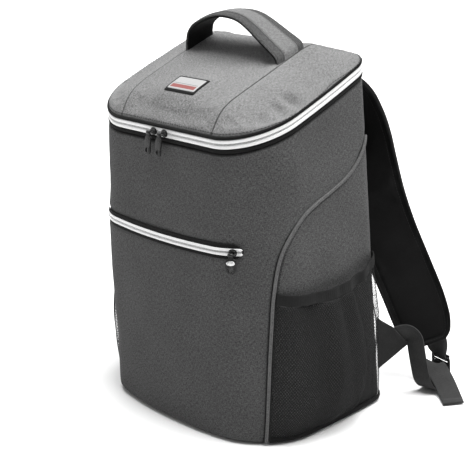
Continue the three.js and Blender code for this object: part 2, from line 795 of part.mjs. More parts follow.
function badge() {
  const shape = new THREE.Shape();
  shape.absellipse(0, 0, BADGE.halfWidth, BADGE.halfHeight, 0, 2 * Math.PI);
  const plate = new THREE.ExtrudeGeometry(shape, {
    depth: BADGE.thickness,
    bevelEnabled: false,
    curveSegments: CURVE_STEPS,
  });
  return plate.translate(0, -BADGE.down * POCKET_PULL_LENGTH, PULL_THICKNESS / 2 + SEAM_GAP);
}

// A slider's place on the cloth: a station, a height and how far its back is from the body.
function sliderSeat(station, z, out) {
  const normal = outward(station, z);
  return { at: skin(station, z, out), along: UP.clone().cross(normal), normal };
}

function seated(geometry, seat, lift, lean) {
  const shape = geometry.clone().rotateX(-radians(lean));
  const origin = seat.at.clone().addScaledVector(seat.normal, lift);
  return placed(shape, origin, seat.along, UP, seat.normal);
}

// Net side pockets: share 0 is the piping and 1 the back seam
const seamPoints = steps(0, 1, 120).map((t) => seamCurve.getPoint(t)).map((p) => ({ y: p.x, z: p.y }));
const netFront = (z) => look(seamPoints, "z", z, "y") + PIPING_WIDTH / 2 + SEAM_GAP;
const netBack = (z) => seamY(z) - TAB_THICKNESS - NET_THICKNESS;
const hemTop = HEM_BOTTOM + HEM_HEIGHT;
const netMouth = (along) => NET_HEIGHT + ELASTIC_HEIGHT * look(MOUTH_PROFILE, "along", along, "lift");

const NET_ROUNDNESS = 0.62; // below 1, the net stands out steeply at its two upright edges
function netPoint(along, z, out) {
  const y = mix(netFront(z), netBack(z), along);
  const station = stationAt(y, z);
  const height = clamp((z - hemTop) / (NET_HEIGHT - hemTop), 0, 1);
  const full = Math.sin(Math.PI * along) ** NET_ROUNDNESS * look(NET_PROFILE, "up", height, "out");
  return skin(station, z).addScaledVector(outward(station, z), SEAM_GAP + NET_BULGE * full + out);
}

function pocketSheet(alongs, rows, thickness) {
  return loft(
    alongs.map((along) => [
      ...rows(along).map((z) => netPoint(along, z, thickness)),
      ...rows(along).map((z) => netPoint(along, z, 0)).reverse(),
    ]),
  );
}

const POCKET_COLUMNS = [0, 0.03, 0.1, 0.22, 0.36, 0.5, 0.64, 0.78, 0.9, 0.97, 1];
const net = () =>
  pocketSheet(
    POCKET_COLUMNS,
    (along) => [0, 0.1, 0.25, 0.45, 0.65, 0.85, 1].map((up) => mix(hemTop + SEAM_GAP, netMouth(along), up)),
    NET_THICKNESS,
  );
const elastic = () =>
  pocketSheet(
    POCKET_COLUMNS,
    (along) => steps(SEAM_GAP, ELASTIC_HEIGHT, 1).map((lift) => netMouth(along) + lift),
    ELASTIC_THICKNESS,
  );
const hemEnd = stationAt(netFront(hemTop), hemTop);
const hem = () =>
  strip(
    [...RIGHT_STATIONS.filter((q) => q >= BACK_SEAM && q < hemEnd), hemEnd],
    () => HEM_BOTTOM,
    () => hemTop,
    SEAM_GAP,
    SEAM_GAP + ELASTIC_THICKNESS,
  );

// Shoulder straps
const strapTop = zipHeight(0) - STRAP_TOP_DROP;

const padRoute = PAD_ROUTE.map((row) => {
  const z = row.z * strapTop;
  const behind = backY(Math.min(z, strapTop)) + SEAM_GAP;
  return {
    at: vec(row.x * STRAP_SPLAY, behind + row.y * STRAP_REACH, z),
    across: widthDirection(row.turn, row.rise),
    wide: row.wide,
  };
});
const padCurve = new THREE.CatmullRomCurve3(
  padRoute.map((r) => r.at),
  false,
  "centripetal",
);

// A place on the pad: its middle, its tangent, the direction of its width and the way out of its far face.
function padFrame(t) {
  const spans = padRoute.length - 1;
  const place = Math.min(t * spans, spans - 1e-9);
  const i = Math.floor(place);
  const tangent = t === 0 ? vec(0, 1, 0) : padCurve.getTangent(t);
  const across = padRoute[i].across.clone().lerp(padRoute[i + 1].across, place - i);
  across.addScaledVector(tangent, -across.dot(tangent)).normalize();
  return {
    at: padCurve.getPoint(t),
    tangent,
    across,
    normal: across.clone().cross(tangent).normalize(),
    wide: mix(padRoute[i].wide, padRoute[i + 1].wide, place - i),
  };
}

const PAD_SECTION = [
  { wide: -1, thick: 0.35 },
  { wide: -0.82, thick: 0.9 },
  { wide: 0, thick: 1 },
  { wide: 0.82, thick: 0.9 },
  { wide: 1, thick: 0.35 },
];

function pad() {
  return loft(
    steps(0, 1, 22).map((t) => {
      const { at, across, normal, wide } = padFrame(t);
      const point = (w, n) =>
        at
          .clone()
          .addScaledVector(across, (w * wide * PAD_WIDTH) / 2)
          .addScaledVector(normal, (n * PAD_THICKNESS) / 2);
      return [
        ...PAD_SECTION.map((s) => point(s.wide, s.thick)),
        ...PAD_SECTION.map((s) => point(s.wide, -s.thick)).reverse(),
      ];
    }),
  );
}

// The ladder lock hangs from the pad's end. Its own axes: across, down the strap and out.
const padEnd = padFrame(1);
const lockAcross = widthDirection(LOCK_TURN, 0);
const lockDown = UP.clone().negate();
const lockOut = lockAcross.clone().cross(lockDown);
const lockMiddle = padEnd.at.clone().add(vec(LOCK_HANG.x, LOCK_HANG.y, LOCK_HANG.z));
const inLock = (across, down, out) =>
  lockMiddle
    .clone()
    .addScaledVector(lockAcross, across)
    .addScaledVector(lockDown, down)
    .addScaledVector(lockOut, out);
const lockBars = steps(-LOCK_LENGTH / 2 + LOCK_BAR / 2, LOCK_LENGTH / 2 - LOCK_BAR / 2, 3);

function lock() {
  const block = (width, length, down) => {
    const box = new THREE.BoxGeometry(width, length, LOCK_THICKNESS);
    return solidOf(box.translate(0, down, 0));
  };
  const rail = (LOCK_WIDTH - WEBBING_WIDTH - 2 * LOCK_CLEARANCE) / 2;
  let made = null;
  for (const side of [-1, 1]) {
    const box = new THREE.BoxGeometry(rail, LOCK_LENGTH, LOCK_THICKNESS);
    const solid = solidOf(box.translate((side * (LOCK_WIDTH - rail)) / 2, 0, 0));
    made = made ? made.add(solid) : solid;
  }
  for (const down of lockBars) made = made.add(block(LOCK_WIDTH - rail, LOCK_BAR, down));
  return placed(geometryFrom(made), lockMiddle, lockAcross, lockDown, lockOut);
}

// Webbing sewn to the pad's far face, turned round the lock's first bar
const lockFace = LOCK_THICKNESS / 2 + WEBBING_THICKNESS / 2 + LOCK_CLEARANCE;
function strapWebbing() {
  const lift = PAD_THICKNESS / 2 + WEBBING_THICKNESS / 2 + 2 * SEAM_GAP;
  const onPad = steps(WEBBING_SEWN_FROM, 1, 4).map((t) => {
    const { at, across, normal } = padFrame(t);
    const place = at.clone().addScaledVector(across, WEBBING_ASIDE).addScaledVector(normal, lift);
    return { at: place, wide: across };
  });
  const [bar] = lockBars;
  const round = steps(Math.PI, 0, 4);
  const turn = [
    inLock(0, bar - lockFace, -lockFace * 0.9),
    ...round.map((angle) => inLock(0, bar + lockFace * Math.sin(angle), lockFace * Math.cos(angle))),
    inLock(0, bar - lockFace, lockFace * 1.2),
  ].map((at) => ({ at, wide: lockAcross }));
  return ribbon([...onPad, ...turn], WEBBING_WIDTH, WEBBING_THICKNESS, 2);
}

// The tab at the foot of the back seam
const tabRun = widthDirection(TAB_TURN, 0);
const tabFoot = skin(BACK_SEAM, (TAB_HIGH + TAB_LOW) / 2, 2 * SEAM_GAP + TAB_THICKNESS / 2);
const TAB_TIP_TOP = { out: 0.5, up: 0.73 };
const TAB_TIP_BOTTOM = { out: 1, up: 0.35 };
const tabPoint = ({ out, up }) =>
  vec(tabFoot.x, tabFoot.y, mix(TAB_LOW, TAB_HIGH, up)).addScaledVector(tabRun, out * TAB_REACH);

function tab() {
  const shape = new THREE.Shape([
    new THREE.Vector2(0, TAB_LOW),
    new THREE.Vector2(TAB_TIP_BOTTOM.out * TAB_REACH, mix(TAB_LOW, TAB_HIGH, TAB_TIP_BOTTOM.up)),
    new THREE.Vector2(TAB_TIP_TOP.out * TAB_REACH, mix(TAB_LOW, TAB_HIGH, TAB_TIP_TOP.up)),
    new THREE.Vector2(0, TAB_HIGH),
  ]);
  const plate = new THREE.ExtrudeGeometry(shape, { depth: TAB_THICKNESS, bevelEnabled: false });
  plate.translate(0, 0, -TAB_THICKNESS / 2);
  return placed(plate, vec(tabFoot.x, tabFoot.y, 0), tabRun, UP, tabRun.clone().cross(UP));
}

// The adjusting webbing: out of the tab, down to the floor, up through the lock and over to its free end
function adjuster() {
  const top = tabPoint(TAB_TIP_TOP);
  const bottom = tabPoint(TAB_TIP_BOTTOM);
  const tip = top.clone().add(bottom).multiplyScalar(0.5);
  const wide = bottom.clone().sub(top).normalize();
  const face = tabRun.clone().cross(UP);
  const away = face.clone().cross(wide).normalize();
  if (away.dot(tabRun) < 0) away.negate();
  const behind = -(TAB_THICKNESS / 2 + WEBBING_THICKNESS / 2 + SEAM_GAP);
  const atTip = [-TAB_OVERLAP, 0, TAB_OVERLAP].map((reach) => ({
    at: tip.clone().addScaledVector(away, reach).addScaledVector(face, behind),
    wide,
  }));
  const corner = skin(BACK_SEAM, 0);
  const loose = (row) => ({
    at: vec(row.x, row.y, row.z).multiplyScalar(LOOSE_REACH).add(corner),
    wide: widthDirection(row.turn, row.rise),
  });
  const [, , third, last] = lockBars;
  const slot = 0;
  const through = [
    inLock(0, last + LOCK_BAR * 2, 1),
    inLock(0, last + LOCK_BAR, lockFace + 1),
    inLock(0, last, lockFace),
    inLock(0, third, lockFace),
    inLock(0, slot, lockFace * 0.8),
    inLock(0, slot, -lockFace * 0.8),
    inLock(0, slot + 1, -lockFace * 2),
  ].map((at) => ({ at, wide: lockAcross }));
  const route = [...atTip, ...LOOP_ROUTE.map(loose), ...through, ...TAIL_ROUTE.map(loose)];
  return ribbon(route, WEBBING_WIDTH, WEBBING_THICKNESS, 2);
}

// Materials
const cloth = (color, roughness = 0.95) => new THREE.MeshStandardMaterial({ color, roughness });
const greyCloth = cloth(0x4f4f4f);
const lidCloth = cloth(0x6a6a6a);
const blackCloth = cloth(0x141414);
const darkTape = cloth(0x232323);
const netCloth = cloth(0x1c1c1c);
const paleTape = cloth(0x8a8a8a);
const silver = new THREE.MeshStandardMaterial({ color: 0xe8e8ea, roughness: 0.35, metalness: 0.3 });
const coilPlastic = cloth(0xb5b5b5, 0.6);
const blackMetal = new THREE.MeshStandardMaterial({ color: 0x101010, roughness: 0.3, metalness: 0.6 });
const blackPlastic = new THREE.MeshStandardMaterial({ color: 0x0c0c0c, roughness: 0.4 });
const brightMetal = new THREE.MeshStandardMaterial({ color: 0xd9d9d9, roughness: 0.3, metalness: 0.8 });

const bag = new THREE.Group();
function piece(name, geometry, material, parent = bag) {
  const mesh = new THREE.Mesh(geometry, material);
  mesh.name = name;
  parent.add(mesh);
}
function pair(name, geometry, material) {
  piece(name + "_right", geometry, material);
  piece(name + "_left", mirrored(geometry), material);
}

piece("front_panel", geometryFrom(frontPanel), greyCloth);
pair("side_panel", geometryFrom(sidePanel), greyCloth);
piece("back_panel", geometryFrom(backPanel), blackCloth);
piece("base_panel", basePanel(), greyCloth);
pair("side_piping", piping(), greyCloth);

piece("body_binding", zipStrip(bindingRow, -WALL / 2, 0), darkTape);
piece("lid_zip_lower_trim", zipStrip(lowerTrimRow, -ZIP_THICKNESS, 0), silver);
piece("lid_zip_coil", zipStrip(coilRow, -ZIP_THICKNESS, 0), coilPlastic);
piece("lid_zip_upper_trim", zipStrip(upperTrimRow, -ZIP_THICKNESS, 0), silver);
piece("lid_binding", zipStrip(lidBindingRow, -WALL / 2, 0), darkTape);
piece("lid_hinge", lidHinge(), greyCloth);
piece("lid_centre_panel", geometryFrom(lidCentre), lidCloth);
pair("lid_side_panel", geometryFrom(lidSide), lidCloth);

const labelY = LABEL_FROM_FRONT - TOP_DEPTH / 2;
const labelFoot = SEAM_GAP;
const labelTop = labelFoot + LABEL_THICKNESS;
piece("label_patch", lidPatch(LABEL_WIDTH, LABEL_DEPTH, labelY, labelFoot, labelTop), blackPlastic);
piece(
  "label_face",
  lidPatch(
    LABEL_WIDTH - 2 * LABEL_BORDER,
    LABEL_DEPTH - 2 * LABEL_BORDER,
    labelY,
    labelTop + SEAM_GAP,
    labelTop + SEAM_GAP + LABEL_FACE_THICKNESS,
  ),
  paleTape,
);

const bandTop = HANDLE_BAND_THICKNESS / 2;
piece("handle_band", handleLayer(HANDLE_WIDTH, -bandTop, bandTop), greyCloth);
piece(
  "handle_lining",
  handleLayer(HANDLE_WIDTH, -bandTop - 2 * SEAM_GAP - HANDLE_LINING_THICKNESS, -bandTop - 2 * SEAM_GAP),
  blackCloth,
);
piece(
  "handle_centre_tape",
  handleLayer(HANDLE_TAPE_WIDTH, bandTop + SEAM_GAP, bandTop + SEAM_GAP + HANDLE_TAPE_THICKNESS),
  paleTape,
);

// Front pocket's zip: a dark tape with a coil between two silver edges
const zipEnd = stationAtX(POCKET_ZIP_HALF_SPAN, POCKET_ZIP_HEIGHT);
const pocketHalf = [zipEnd, ...RIGHT_STATIONS.filter((q) => q > zipEnd)];
const pocketStations = [...pocketHalf, ...pocketHalf.slice(0, -1).reverse().map((q) => -q)];
const pocketStrip = (low, high, from, to) =>
  strip(
    pocketStations,
    () => POCKET_ZIP_HEIGHT + low,
    () => POCKET_ZIP_HEIGHT + high,
    from,
    to,
  );
const tapeFoot = 2 * SEAM_GAP;
const tapeOut = tapeFoot + POCKET_TAPE_THICKNESS;
const trimOut = tapeOut + SEAM_GAP + ZIP_THICKNESS / 2;
const halfCoil = ZIP_COIL / 2;
const halfTape = POCKET_TAPE_HEIGHT / 2;
piece("pocket_zip_tape", pocketStrip(-halfTape, halfTape, tapeFoot, tapeOut), darkTape);
piece("pocket_zip_coil", pocketStrip(-halfCoil, halfCoil, tapeOut + SEAM_GAP, trimOut), coilPlastic);
for (const [name, side] of [
  ["upper", 1],
  ["lower", -1],
]) {
  const inner = side * (halfCoil + SEAM_GAP);
  const outer = side * (halfCoil + SEAM_GAP + ZIP_TRIM);
  const made = pocketStrip(Math.min(inner, outer), Math.max(inner, outer), tapeOut + SEAM_GAP, trimOut);
  piece("pocket_zip_" + name + "_trim", made, silver);
}

// Sliders sit on the zips, and each pull hangs from its slider's bail
const coilMiddle = (coilRow.bottom + coilRow.top) / 2;
const barLift = SEAM_GAP + SLIDER_THICKNESS + BAIL_HEIGHT;
const lidPull = pull(LID_PULL_OUTLINE, LID_PULL_LENGTH, LID_PULL_WIDTH, LID_PULL_HOLE);
for (const [name, side] of [
  ["left", -1],
  ["right", 1],
]) {
  const x = LID_SLIDERS_MEET + (side * LID_SLIDER_SPACING) / 2;
  const station = Math.sign(x) * stationAtX(Math.abs(x), FRONT_HEIGHT);
  const seat = sliderSeat(station, zipHeight(station) + coilMiddle, 0);
  piece("lid_slider_" + name, seated(slider(), seat, SEAM_GAP, 0), blackMetal);
  piece("lid_pull_" + name, seated(lidPull, seat, barLift, LID_PULL_LEAN), blackMetal);
}
const pocketSeat = sliderSeat(
  stationAtX(POCKET_ZIP_HALF_SPAN - SLIDER_LENGTH, POCKET_ZIP_HEIGHT),
  POCKET_ZIP_HEIGHT,
  trimOut,
);
piece("pocket_slider", seated(slider(), pocketSeat, SEAM_GAP, 0), blackMetal);
const pocketPull = pull(POCKET_PULL_OUTLINE, POCKET_PULL_LENGTH, POCKET_PULL_WIDTH, POCKET_PULL_HOLE);
piece("pocket_pull", seated(pocketPull, pocketSeat, barLift, POCKET_PULL_LEAN), blackMetal);
piece("pocket_pull_badge", seated(badge(), pocketSeat, barLift, POCKET_PULL_LEAN), brightMetal);

pair("pocket_net", net(), netCloth);
pair("pocket_elastic", elastic(), darkTape);
pair("pocket_hem", hem(), darkTape);

pair("strap_pad", pad(), blackCloth);
pair("strap_webbing", strapWebbing(), blackCloth);
pair("strap_lock", lock(), blackPlastic);
pair("strap_tab", tab(), blackCloth);
pair("strap_adjuster", adjuster(), blackCloth);

export default bag;
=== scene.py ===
"""A grey soft-sided cooler backpack on a pale floor: its looks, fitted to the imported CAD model.

The shapes repeat the CAD model's own formulas, in millimetres, and each mesh is written in metres.
"""
import math

import bmesh
import bpy
import numpy as np
from mathutils import Matrix, Vector


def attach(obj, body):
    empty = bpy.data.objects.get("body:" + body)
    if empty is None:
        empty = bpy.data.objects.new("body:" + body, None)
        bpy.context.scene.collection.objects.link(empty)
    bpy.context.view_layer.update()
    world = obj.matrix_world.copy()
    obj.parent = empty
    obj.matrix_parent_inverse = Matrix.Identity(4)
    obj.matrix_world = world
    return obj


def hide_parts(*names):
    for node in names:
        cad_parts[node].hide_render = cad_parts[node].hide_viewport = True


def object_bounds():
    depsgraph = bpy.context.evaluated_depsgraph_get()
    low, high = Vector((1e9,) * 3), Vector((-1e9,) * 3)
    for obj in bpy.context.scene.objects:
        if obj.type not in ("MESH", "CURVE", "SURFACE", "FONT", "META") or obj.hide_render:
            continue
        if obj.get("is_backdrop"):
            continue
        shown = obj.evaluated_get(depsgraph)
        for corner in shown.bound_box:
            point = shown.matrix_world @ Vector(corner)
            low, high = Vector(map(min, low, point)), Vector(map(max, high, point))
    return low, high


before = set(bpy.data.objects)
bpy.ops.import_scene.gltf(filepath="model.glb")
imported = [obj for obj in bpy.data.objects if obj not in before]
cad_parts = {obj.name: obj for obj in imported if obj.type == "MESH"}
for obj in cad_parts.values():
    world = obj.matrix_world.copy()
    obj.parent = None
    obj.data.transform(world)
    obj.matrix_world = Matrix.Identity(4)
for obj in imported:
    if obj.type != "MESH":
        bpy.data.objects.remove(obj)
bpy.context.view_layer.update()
MM = 0.001

# Sizes of the CAD model, in millimetres and degrees
TOP_WIDTH, TOP_DEPTH = 290.0, 184.0
BASE_WIDTH, BASE_DEPTH = 304.0, 190.0
FRONT_HEIGHT = 342.0
LID_SLOPE = 18.7
TOP_FRONT_CORNER, BASE_FRONT_CORNER, BACK_CORNER = 64.0, 55.0, 22.0
SIDE_BULGE, FRONT_BULGE = 5.0, 25.0
BASE_ROUND = 10.0
SEAM_GAP = 0.3
BINDING_SHOWN = 4.8
ZIP_TRIM, ZIP_COIL, ZIP_THICKNESS = 3.3, 2.8, 1.6
LID_BINDING_HEIGHT = 3.4
LID_RISE = 26.0
LID_SEAM_X = 79.0
PIPING_WIDTH = 4.0
POCKET_ZIP_HEIGHT, POCKET_ZIP_HALF_SPAN = 231.0, 120.0
POCKET_TAPE_HALF, POCKET_TAPE_THICKNESS = 8.5, 0.8
NET_THICKNESS, NET_BULGE, NET_HEIGHT = 1.5, 30.0, 168.0
ELASTIC_HEIGHT, ELASTIC_THICKNESS = 13.0, 2.4
HEM_BOTTOM, HEM_HEIGHT = 4.0, 5.0
SLIDER_LENGTH, SLIDER_WIDTH, SLIDER_THICKNESS = 9.0, 8.6, 3.0
BAIL_HEIGHT, BAIL_RADIUS, BAIL_SPAN = 5.4, 0.8, 5.0
PULL_THICKNESS = 1.8
LID_PULL_LENGTH, LID_PULL_WIDTH = 25.0, 9.0
POCKET_PULL_LENGTH, POCKET_PULL_WIDTH = 21.0, 13.0
LID_SLIDERS_MEET, LID_SLIDER_SPACING = -8.0, 19.0
LID_PULL_LEAN, POCKET_PULL_LEAN = 10.0, 9.0
HANDLE_WIDTH, HANDLE_RISE = 42.0, 41.0
HANDLE_Y = TOP_DEPTH / 2 - 57.6
LABEL_WIDTH, LABEL_DEPTH = 52.0, 27.0
LABEL_Y = 38.0 - TOP_DEPTH / 2
PAD_WIDTH, PAD_THICKNESS = 71.0, 10.0
STRAP_TOP_DROP, STRAP_SPLAY, STRAP_REACH = 26.0, 160.0, 76.0
WEBBING_WIDTH, WEBBING_THICKNESS = 25.0, 1.5
LOCK_WIDTH, LOCK_LENGTH, LOCK_THICKNESS, LOCK_BAR = 33.0, 22.0, 3.0, 2.4
LOCK_HANG = (5.0, 13.0, -29.0)
LOCK_TURN = -10.0
WEBBING_ASIDE, WEBBING_SEWN_FROM = 9.0, 0.72
TAB_HIGH, TAB_LOW, TAB_THICKNESS, TAB_REACH, TAB_OVERLAP, TAB_TURN = 104.0, 38.0, 1.6, 42.0, 9.0, 72.0
LOOSE_REACH = 100.0
SLOPE = math.tan(math.radians(LID_SLOPE))

# Sizes of the looks alone, in millimetres
PANEL_THICKNESS, LID_THICKNESS = 2.4, 2.6
BACK_PAD_HALF, BACK_PAD_FOOT, BACK_PAD_TOP_DROP, BACK_CHANNEL_X = 125, 22, 40, 42
MOUTH_LENGTH = 182.0
NET_PITCH, NET_STRAND, NET_LEAN = 2.5, 0.95, 0.62
RIM_STITCH_INSET = 3.2
LABEL_BORDER = 5.5
# A strand of the net, as (across, out)
NET_SECTION = [(0, 0.2), (NET_STRAND / 2, 0), (0, -0.14), (-NET_STRAND / 2, 0)]
BACK_SEAM = 1.5

FRONT_PROFILE = ([0, 0.3, 0.6, 0.75, 0.88, 1], [0.92, 1, 0.88, 0.62, 0.28, 0])
SIDE_SEAM = [
    (-0.95, -0.05), (-0.94, 0.01), (-0.91, 0.094), (-0.85, 0.276), (-0.8, 0.409), (-0.75, 0.521),
    (-0.665, 0.629), (-0.546, 0.697), (-0.344, 0.758), (-0.094, 0.793), (0.19, 0.82), (0.464, 0.847),
    (0.668, 0.883), (0.81, 0.925), (0.9, 0.965), (1, 1.03),
]
NET_PROFILE = ([0, 0.1, 0.25, 0.45, 0.65, 0.85, 1], [0.04, 0.5, 0.86, 1, 0.9, 0.62, 0.38])
NET_FOLDS = (
    [-0.1, 0.1, 0.2, 0.3, 0.4, 0.52, 0.62, 0.72, 0.82, 0.9, 1.1],
    [0, 0.5, -0.3, -1, 0.9, 0.1, 0.5, -0.9, 0.8, -0.2, 0],
)
MOUTH_PROFILE = ([0, 0.25, 0.5, 0.75, 1], [0, -0.45, -0.5, -0.2, 0.65])
HANDLE_ROUTE = [
    (-1, 0), (-0.985, 0.22), (-0.94, 0.46), (-0.82, 0.66), (-0.63, 0.82), (-0.42, 0.93), (-0.19, 1),
    (0.04, 0.99), (0.22, 0.92), (0.38, 0.79), (0.55, 0.61), (0.72, 0.42), (0.87, 0.26), (0.965, 0.13), (1, 0),
]
# The strap's route: x, y and z as shares, the turn and rise of its width in degrees, and its share of the width
PAD_ROUTE = [
    (0.33, 0.0, 1.0, 0, 0, 0.9), (0.33, 0.1, 1.005, 0, 0, 0.92), (0.335, 0.36, 1.01, 0, 0, 0.95),
    (0.35, 0.58, 0.985, 0, 0, 0.97), (0.375, 0.74, 0.94, 2, 0, 0.98), (0.41, 0.82, 0.875, 6, 1, 1),
    (0.46, 0.83, 0.8, 12, 3, 1), (0.52, 0.78, 0.715, 20, 6, 1), (0.61, 0.72, 0.605, 30, 10, 1),
    (0.7, 0.73, 0.5, 40, 14, 1), (0.81, 0.79, 0.385, 49, 17, 1), (0.9, 0.87, 0.28, 53, 18, 1),
    (0.955, 0.93, 0.2, 54, 18, 0.96), (0.985, 0.98, 0.15, 54, 17, 0.8), (1, 1, 0.122, 54, 16, 0.5),
]
# The loose webbing's loop and tail: x, y and z from the corner as shares, and the turn and rise of its width
LOOP_ROUTE = [
    (0.108, 0.354, 0.753, 104, -69), (0.146, 0.397, 0.752, 160, -66), (0.187, 0.429, 0.722, 182, -44),
    (0.218, 0.438, 0.67, 188, -24), (0.262, 0.42, 0.53, 187, -14), (0.303, 0.41, 0.36, 186, -10),
    (0.345, 0.43, 0.15, 186, -6), (0.362, 0.51, 0.05, 187, 0), (0.33, 0.63, 0.024, 185, 0),
    (0.25, 0.79, 0.024, 180, 0),
]
TAIL_ROUTE = [
    (0.19, 0.82, 0.22, -6, 0), (0.26, 0.73, 0.25, 6, 0), (0.42, 0.66, 0.19, 22, 0),
    (0.63, 0.56, 0.07, 40, 0), (0.83, 0.41, 0.022, 50, 0),
]


# Sums on arrays
def mix(a, b, t):
    """From a at t = 0 to b at t = 1."""
    return a + (b - a) * t


def smooth(t):
    t = np.clip(t, 0, 1)
    return t * t * (3 - 2 * t)


def unit(v):
    return v / np.maximum(np.linalg.norm(v, axis=-1, keepdims=True), 1e-12)


def floats(*values):
    """The values as float arrays of one shape."""
    return np.broadcast_arrays(*(np.asarray(value, float) for value in values))


def look(table, place):
    """A smooth curve through a table's points, without overshoot."""
    xs, ys = np.asarray(table[0], float), np.asarray(table[1], float)
    step, rise = np.diff(xs), np.diff(ys)
    slope = rise / step
    tangent = np.zeros_like(ys)
    same = slope[:-1] * slope[1:] > 0
    tangent[1:-1][same] = 2 * slope[:-1][same] * slope[1:][same] / (slope[:-1] + slope[1:])[same]
    tangent[0], tangent[-1] = slope[0], slope[-1]
    place = np.clip(place, xs[0], xs[-1])
    i = np.clip(np.searchsorted(xs, place) - 1, 0, len(step) - 1)
    t = (place - xs[i]) / step[i]
    return (
        ys[i] * (1 + 2 * t) * (1 - t) ** 2
        + tangent[i] * step[i] * t * (1 - t) ** 2
        + ys[i + 1] * t * t * (3 - 2 * t)
        - tangent[i + 1] * step[i] * t * t * (1 - t)
    )


def lumps(x, y, size, seed):
    """Soft random height, about -1 to 1, with features of that size."""
    rng = np.random.default_rng(seed)
    table = rng.uniform(-1, 1, (64, 64))
    u, v = np.asarray(x) / size, np.asarray(y) / size
    i, j = np.floor(u).astype(int), np.floor(v).astype(int)
    fu, fv = u - i, v - j
    fu, fv = fu**3 * (fu * (fu * 6 - 15) + 10), fv**3 * (fv * (fv * 6 - 15) + 10)
    at = lambda a, b: table[(i + a) % 64, (j + b) % 64]
    return mix(mix(at(0, 0), at(1, 0), fu), mix(at(0, 1), at(1, 1), fu), fv)


def lengths(points):
    """Distance along a line of points."""
    return np.concatenate([[0], np.cumsum(np.linalg.norm(np.diff(points, axis=0), axis=1))])


# The body's outline: station 0 is the middle of the back and 5 the middle of the front
def plan(station, share, inset=0.0):
    """The outline at a share of the height, that far inside the body's outside."""
    station, share, inset = floats(station, share, inset)
    q = np.abs(station)
    wide = mix(BASE_WIDTH, TOP_WIDTH, share) / 2 - inset
    deep = mix(BASE_DEPTH, TOP_DEPTH, share) / 2 - inset
    front = mix(BASE_FRONT_CORNER, TOP_FRONT_CORNER, share) - inset
    back = np.maximum(BACK_CORNER - inset, SEAM_GAP)
    b, f = (q - 1) * np.pi / 2, (q - 3) * np.pi / 2
    which = [q <= 1, q <= 2, q <= 3, q <= 4]
    x = np.select(
        which,
        [q * (wide - back), wide - back + back * np.sin(b), wide, wide - front + front * np.cos(f)],
        (5 - q) * (wide - front),
    )
    y = np.select(
        which,
        [
            deep, deep - back + back * np.cos(b), mix(deep - back, front - deep, q - 2),
            front - deep - front * np.sin(f),
        ],
        -deep,
    )
    across = x / wide
    along = np.clip(y / deep, -1, 1)
    out = FRONT_BULGE * look(FRONT_PROFILE, share)
    x = np.sign(station) * (x + SIDE_BULGE * (1 - along**2) * across)
    return x, y - out * (1 - across**2) * (1 - along) / 2


def zip_height(station):
    return FRONT_HEIGHT + (plan(station, 1.0)[1] + TOP_DEPTH / 2) * SLOPE


def skin(station, z, out=0.0):
    """Points of the body's outside at stations and heights, that far out."""
    station, z, out = floats(station, z, out)
    x, y = plan(station, np.clip(z / zip_height(station), 0, 1), -out)
    return np.stack([x, y, z], -1)


def outward(station, z):
    """Directions level and square to the body's outside, on its right side."""
    run = skin(station + 0.01, z) - skin(station - 0.01, z)
    return unit(np.stack([-run[..., 1], run[..., 0], np.zeros(run.shape[:-1])], -1))


def last_station(low, high, holds):
    """The last station, by halving, where the condition holds."""
    for _ in range(36):
        middle = (low + high) / 2
        here = holds(middle)
        low, high = np.where(here, middle, low), np.where(here, high, middle)
    return (low + high) / 2


def station_at(y, z):
    """The station of the body's right side that has that y."""
    y, z = floats(y, z)
    return last_station(np.full(y.shape, 0.75), np.full(y.shape, 5.0), lambda q: skin(q, z)[..., 1] > y)


def station_at_x(x, z):
    """The station of the right front that has that x."""
    x, z = floats(x, z)
    return last_station(np.full(x.shape, 3.0), np.full(x.shape, 5.0), lambda q: skin(q, z)[..., 0] > x)


def spline(points, t):
    """Uniform Catmull-Rom curve through points, at shares t of its spans."""
    points = np.asarray(points, float)
    place = np.asarray(t, float) * (len(points) - 1)
    i = np.clip(np.floor(place).astype(int), 0, len(points) - 2)
    w = (place - i).reshape(place.shape + (1,) * (points.ndim - 1))
    p0, p1 = points[np.maximum(i - 1, 0)], points[i]
    p2, p3 = points[i + 1], points[np.minimum(i + 2, len(points) - 1)]
    v0, v1 = (p2 - p0) / 2, (p3 - p1) / 2
    return (2 * p1 - 2 * p2 + v0 + v1) * w**3 + (-3 * p1 + 3 * p2 - 2 * v0 - v1) * w**2 + v0 * w + p1


def route_curve(points, t):
    """Centripetal Catmull-Rom curve through points, and its direction, at shares t of its spans."""
    points = np.asarray(points, float)
    padded = np.vstack([2 * points[0] - points[1], points, 2 * points[-1] - points[-2]])
    place = np.asarray(t, float) * (len(points) - 1)
    i = np.clip(np.floor(place).astype(int), 0, len(points) - 2)
    w = (place - i)[..., None]
    p = [padded[i + k] for k in range(4)]
    d = [np.maximum(np.linalg.norm(p[k + 1] - p[k], axis=-1, keepdims=True) ** 0.5, 1e-4) for k in range(3)]
    t0 = ((p[1] - p[0]) / d[0] - (p[2] - p[0]) / (d[0] + d[1]) + (p[2] - p[1]) / d[1]) * d[1]
    t1 = ((p[2] - p[1]) / d[1] - (p[3] - p[1]) / (d[1] + d[2]) + (p[3] - p[2]) / d[2]) * d[1]
    c2, c3 = -3 * p[1] + 3 * p[2] - 2 * t0 - t1, 2 * p[1] - 2 * p[2] + t0 + t1
    return p[1] + t0 * w + c2 * w**2 + c3 * w**3, unit(t0 + 2 * c2 * w + 3 * c3 * w**2)


def width_direction(turn, rise):
    """A direction from its turn about the vertical and its rise, in degrees."""
    turn, rise = np.radians(turn), np.radians(rise)
    return np.stack([np.cos(turn) * np.cos(rise), np.sin(turn) * np.cos(rise), np.sin(rise)], -1)


# The piped seam on the right side, as points of the skin
seam_yz = spline(SIDE_SEAM, np.linspace(0, 1, 900)) * [TOP_DEPTH / 2, FRONT_HEIGHT]


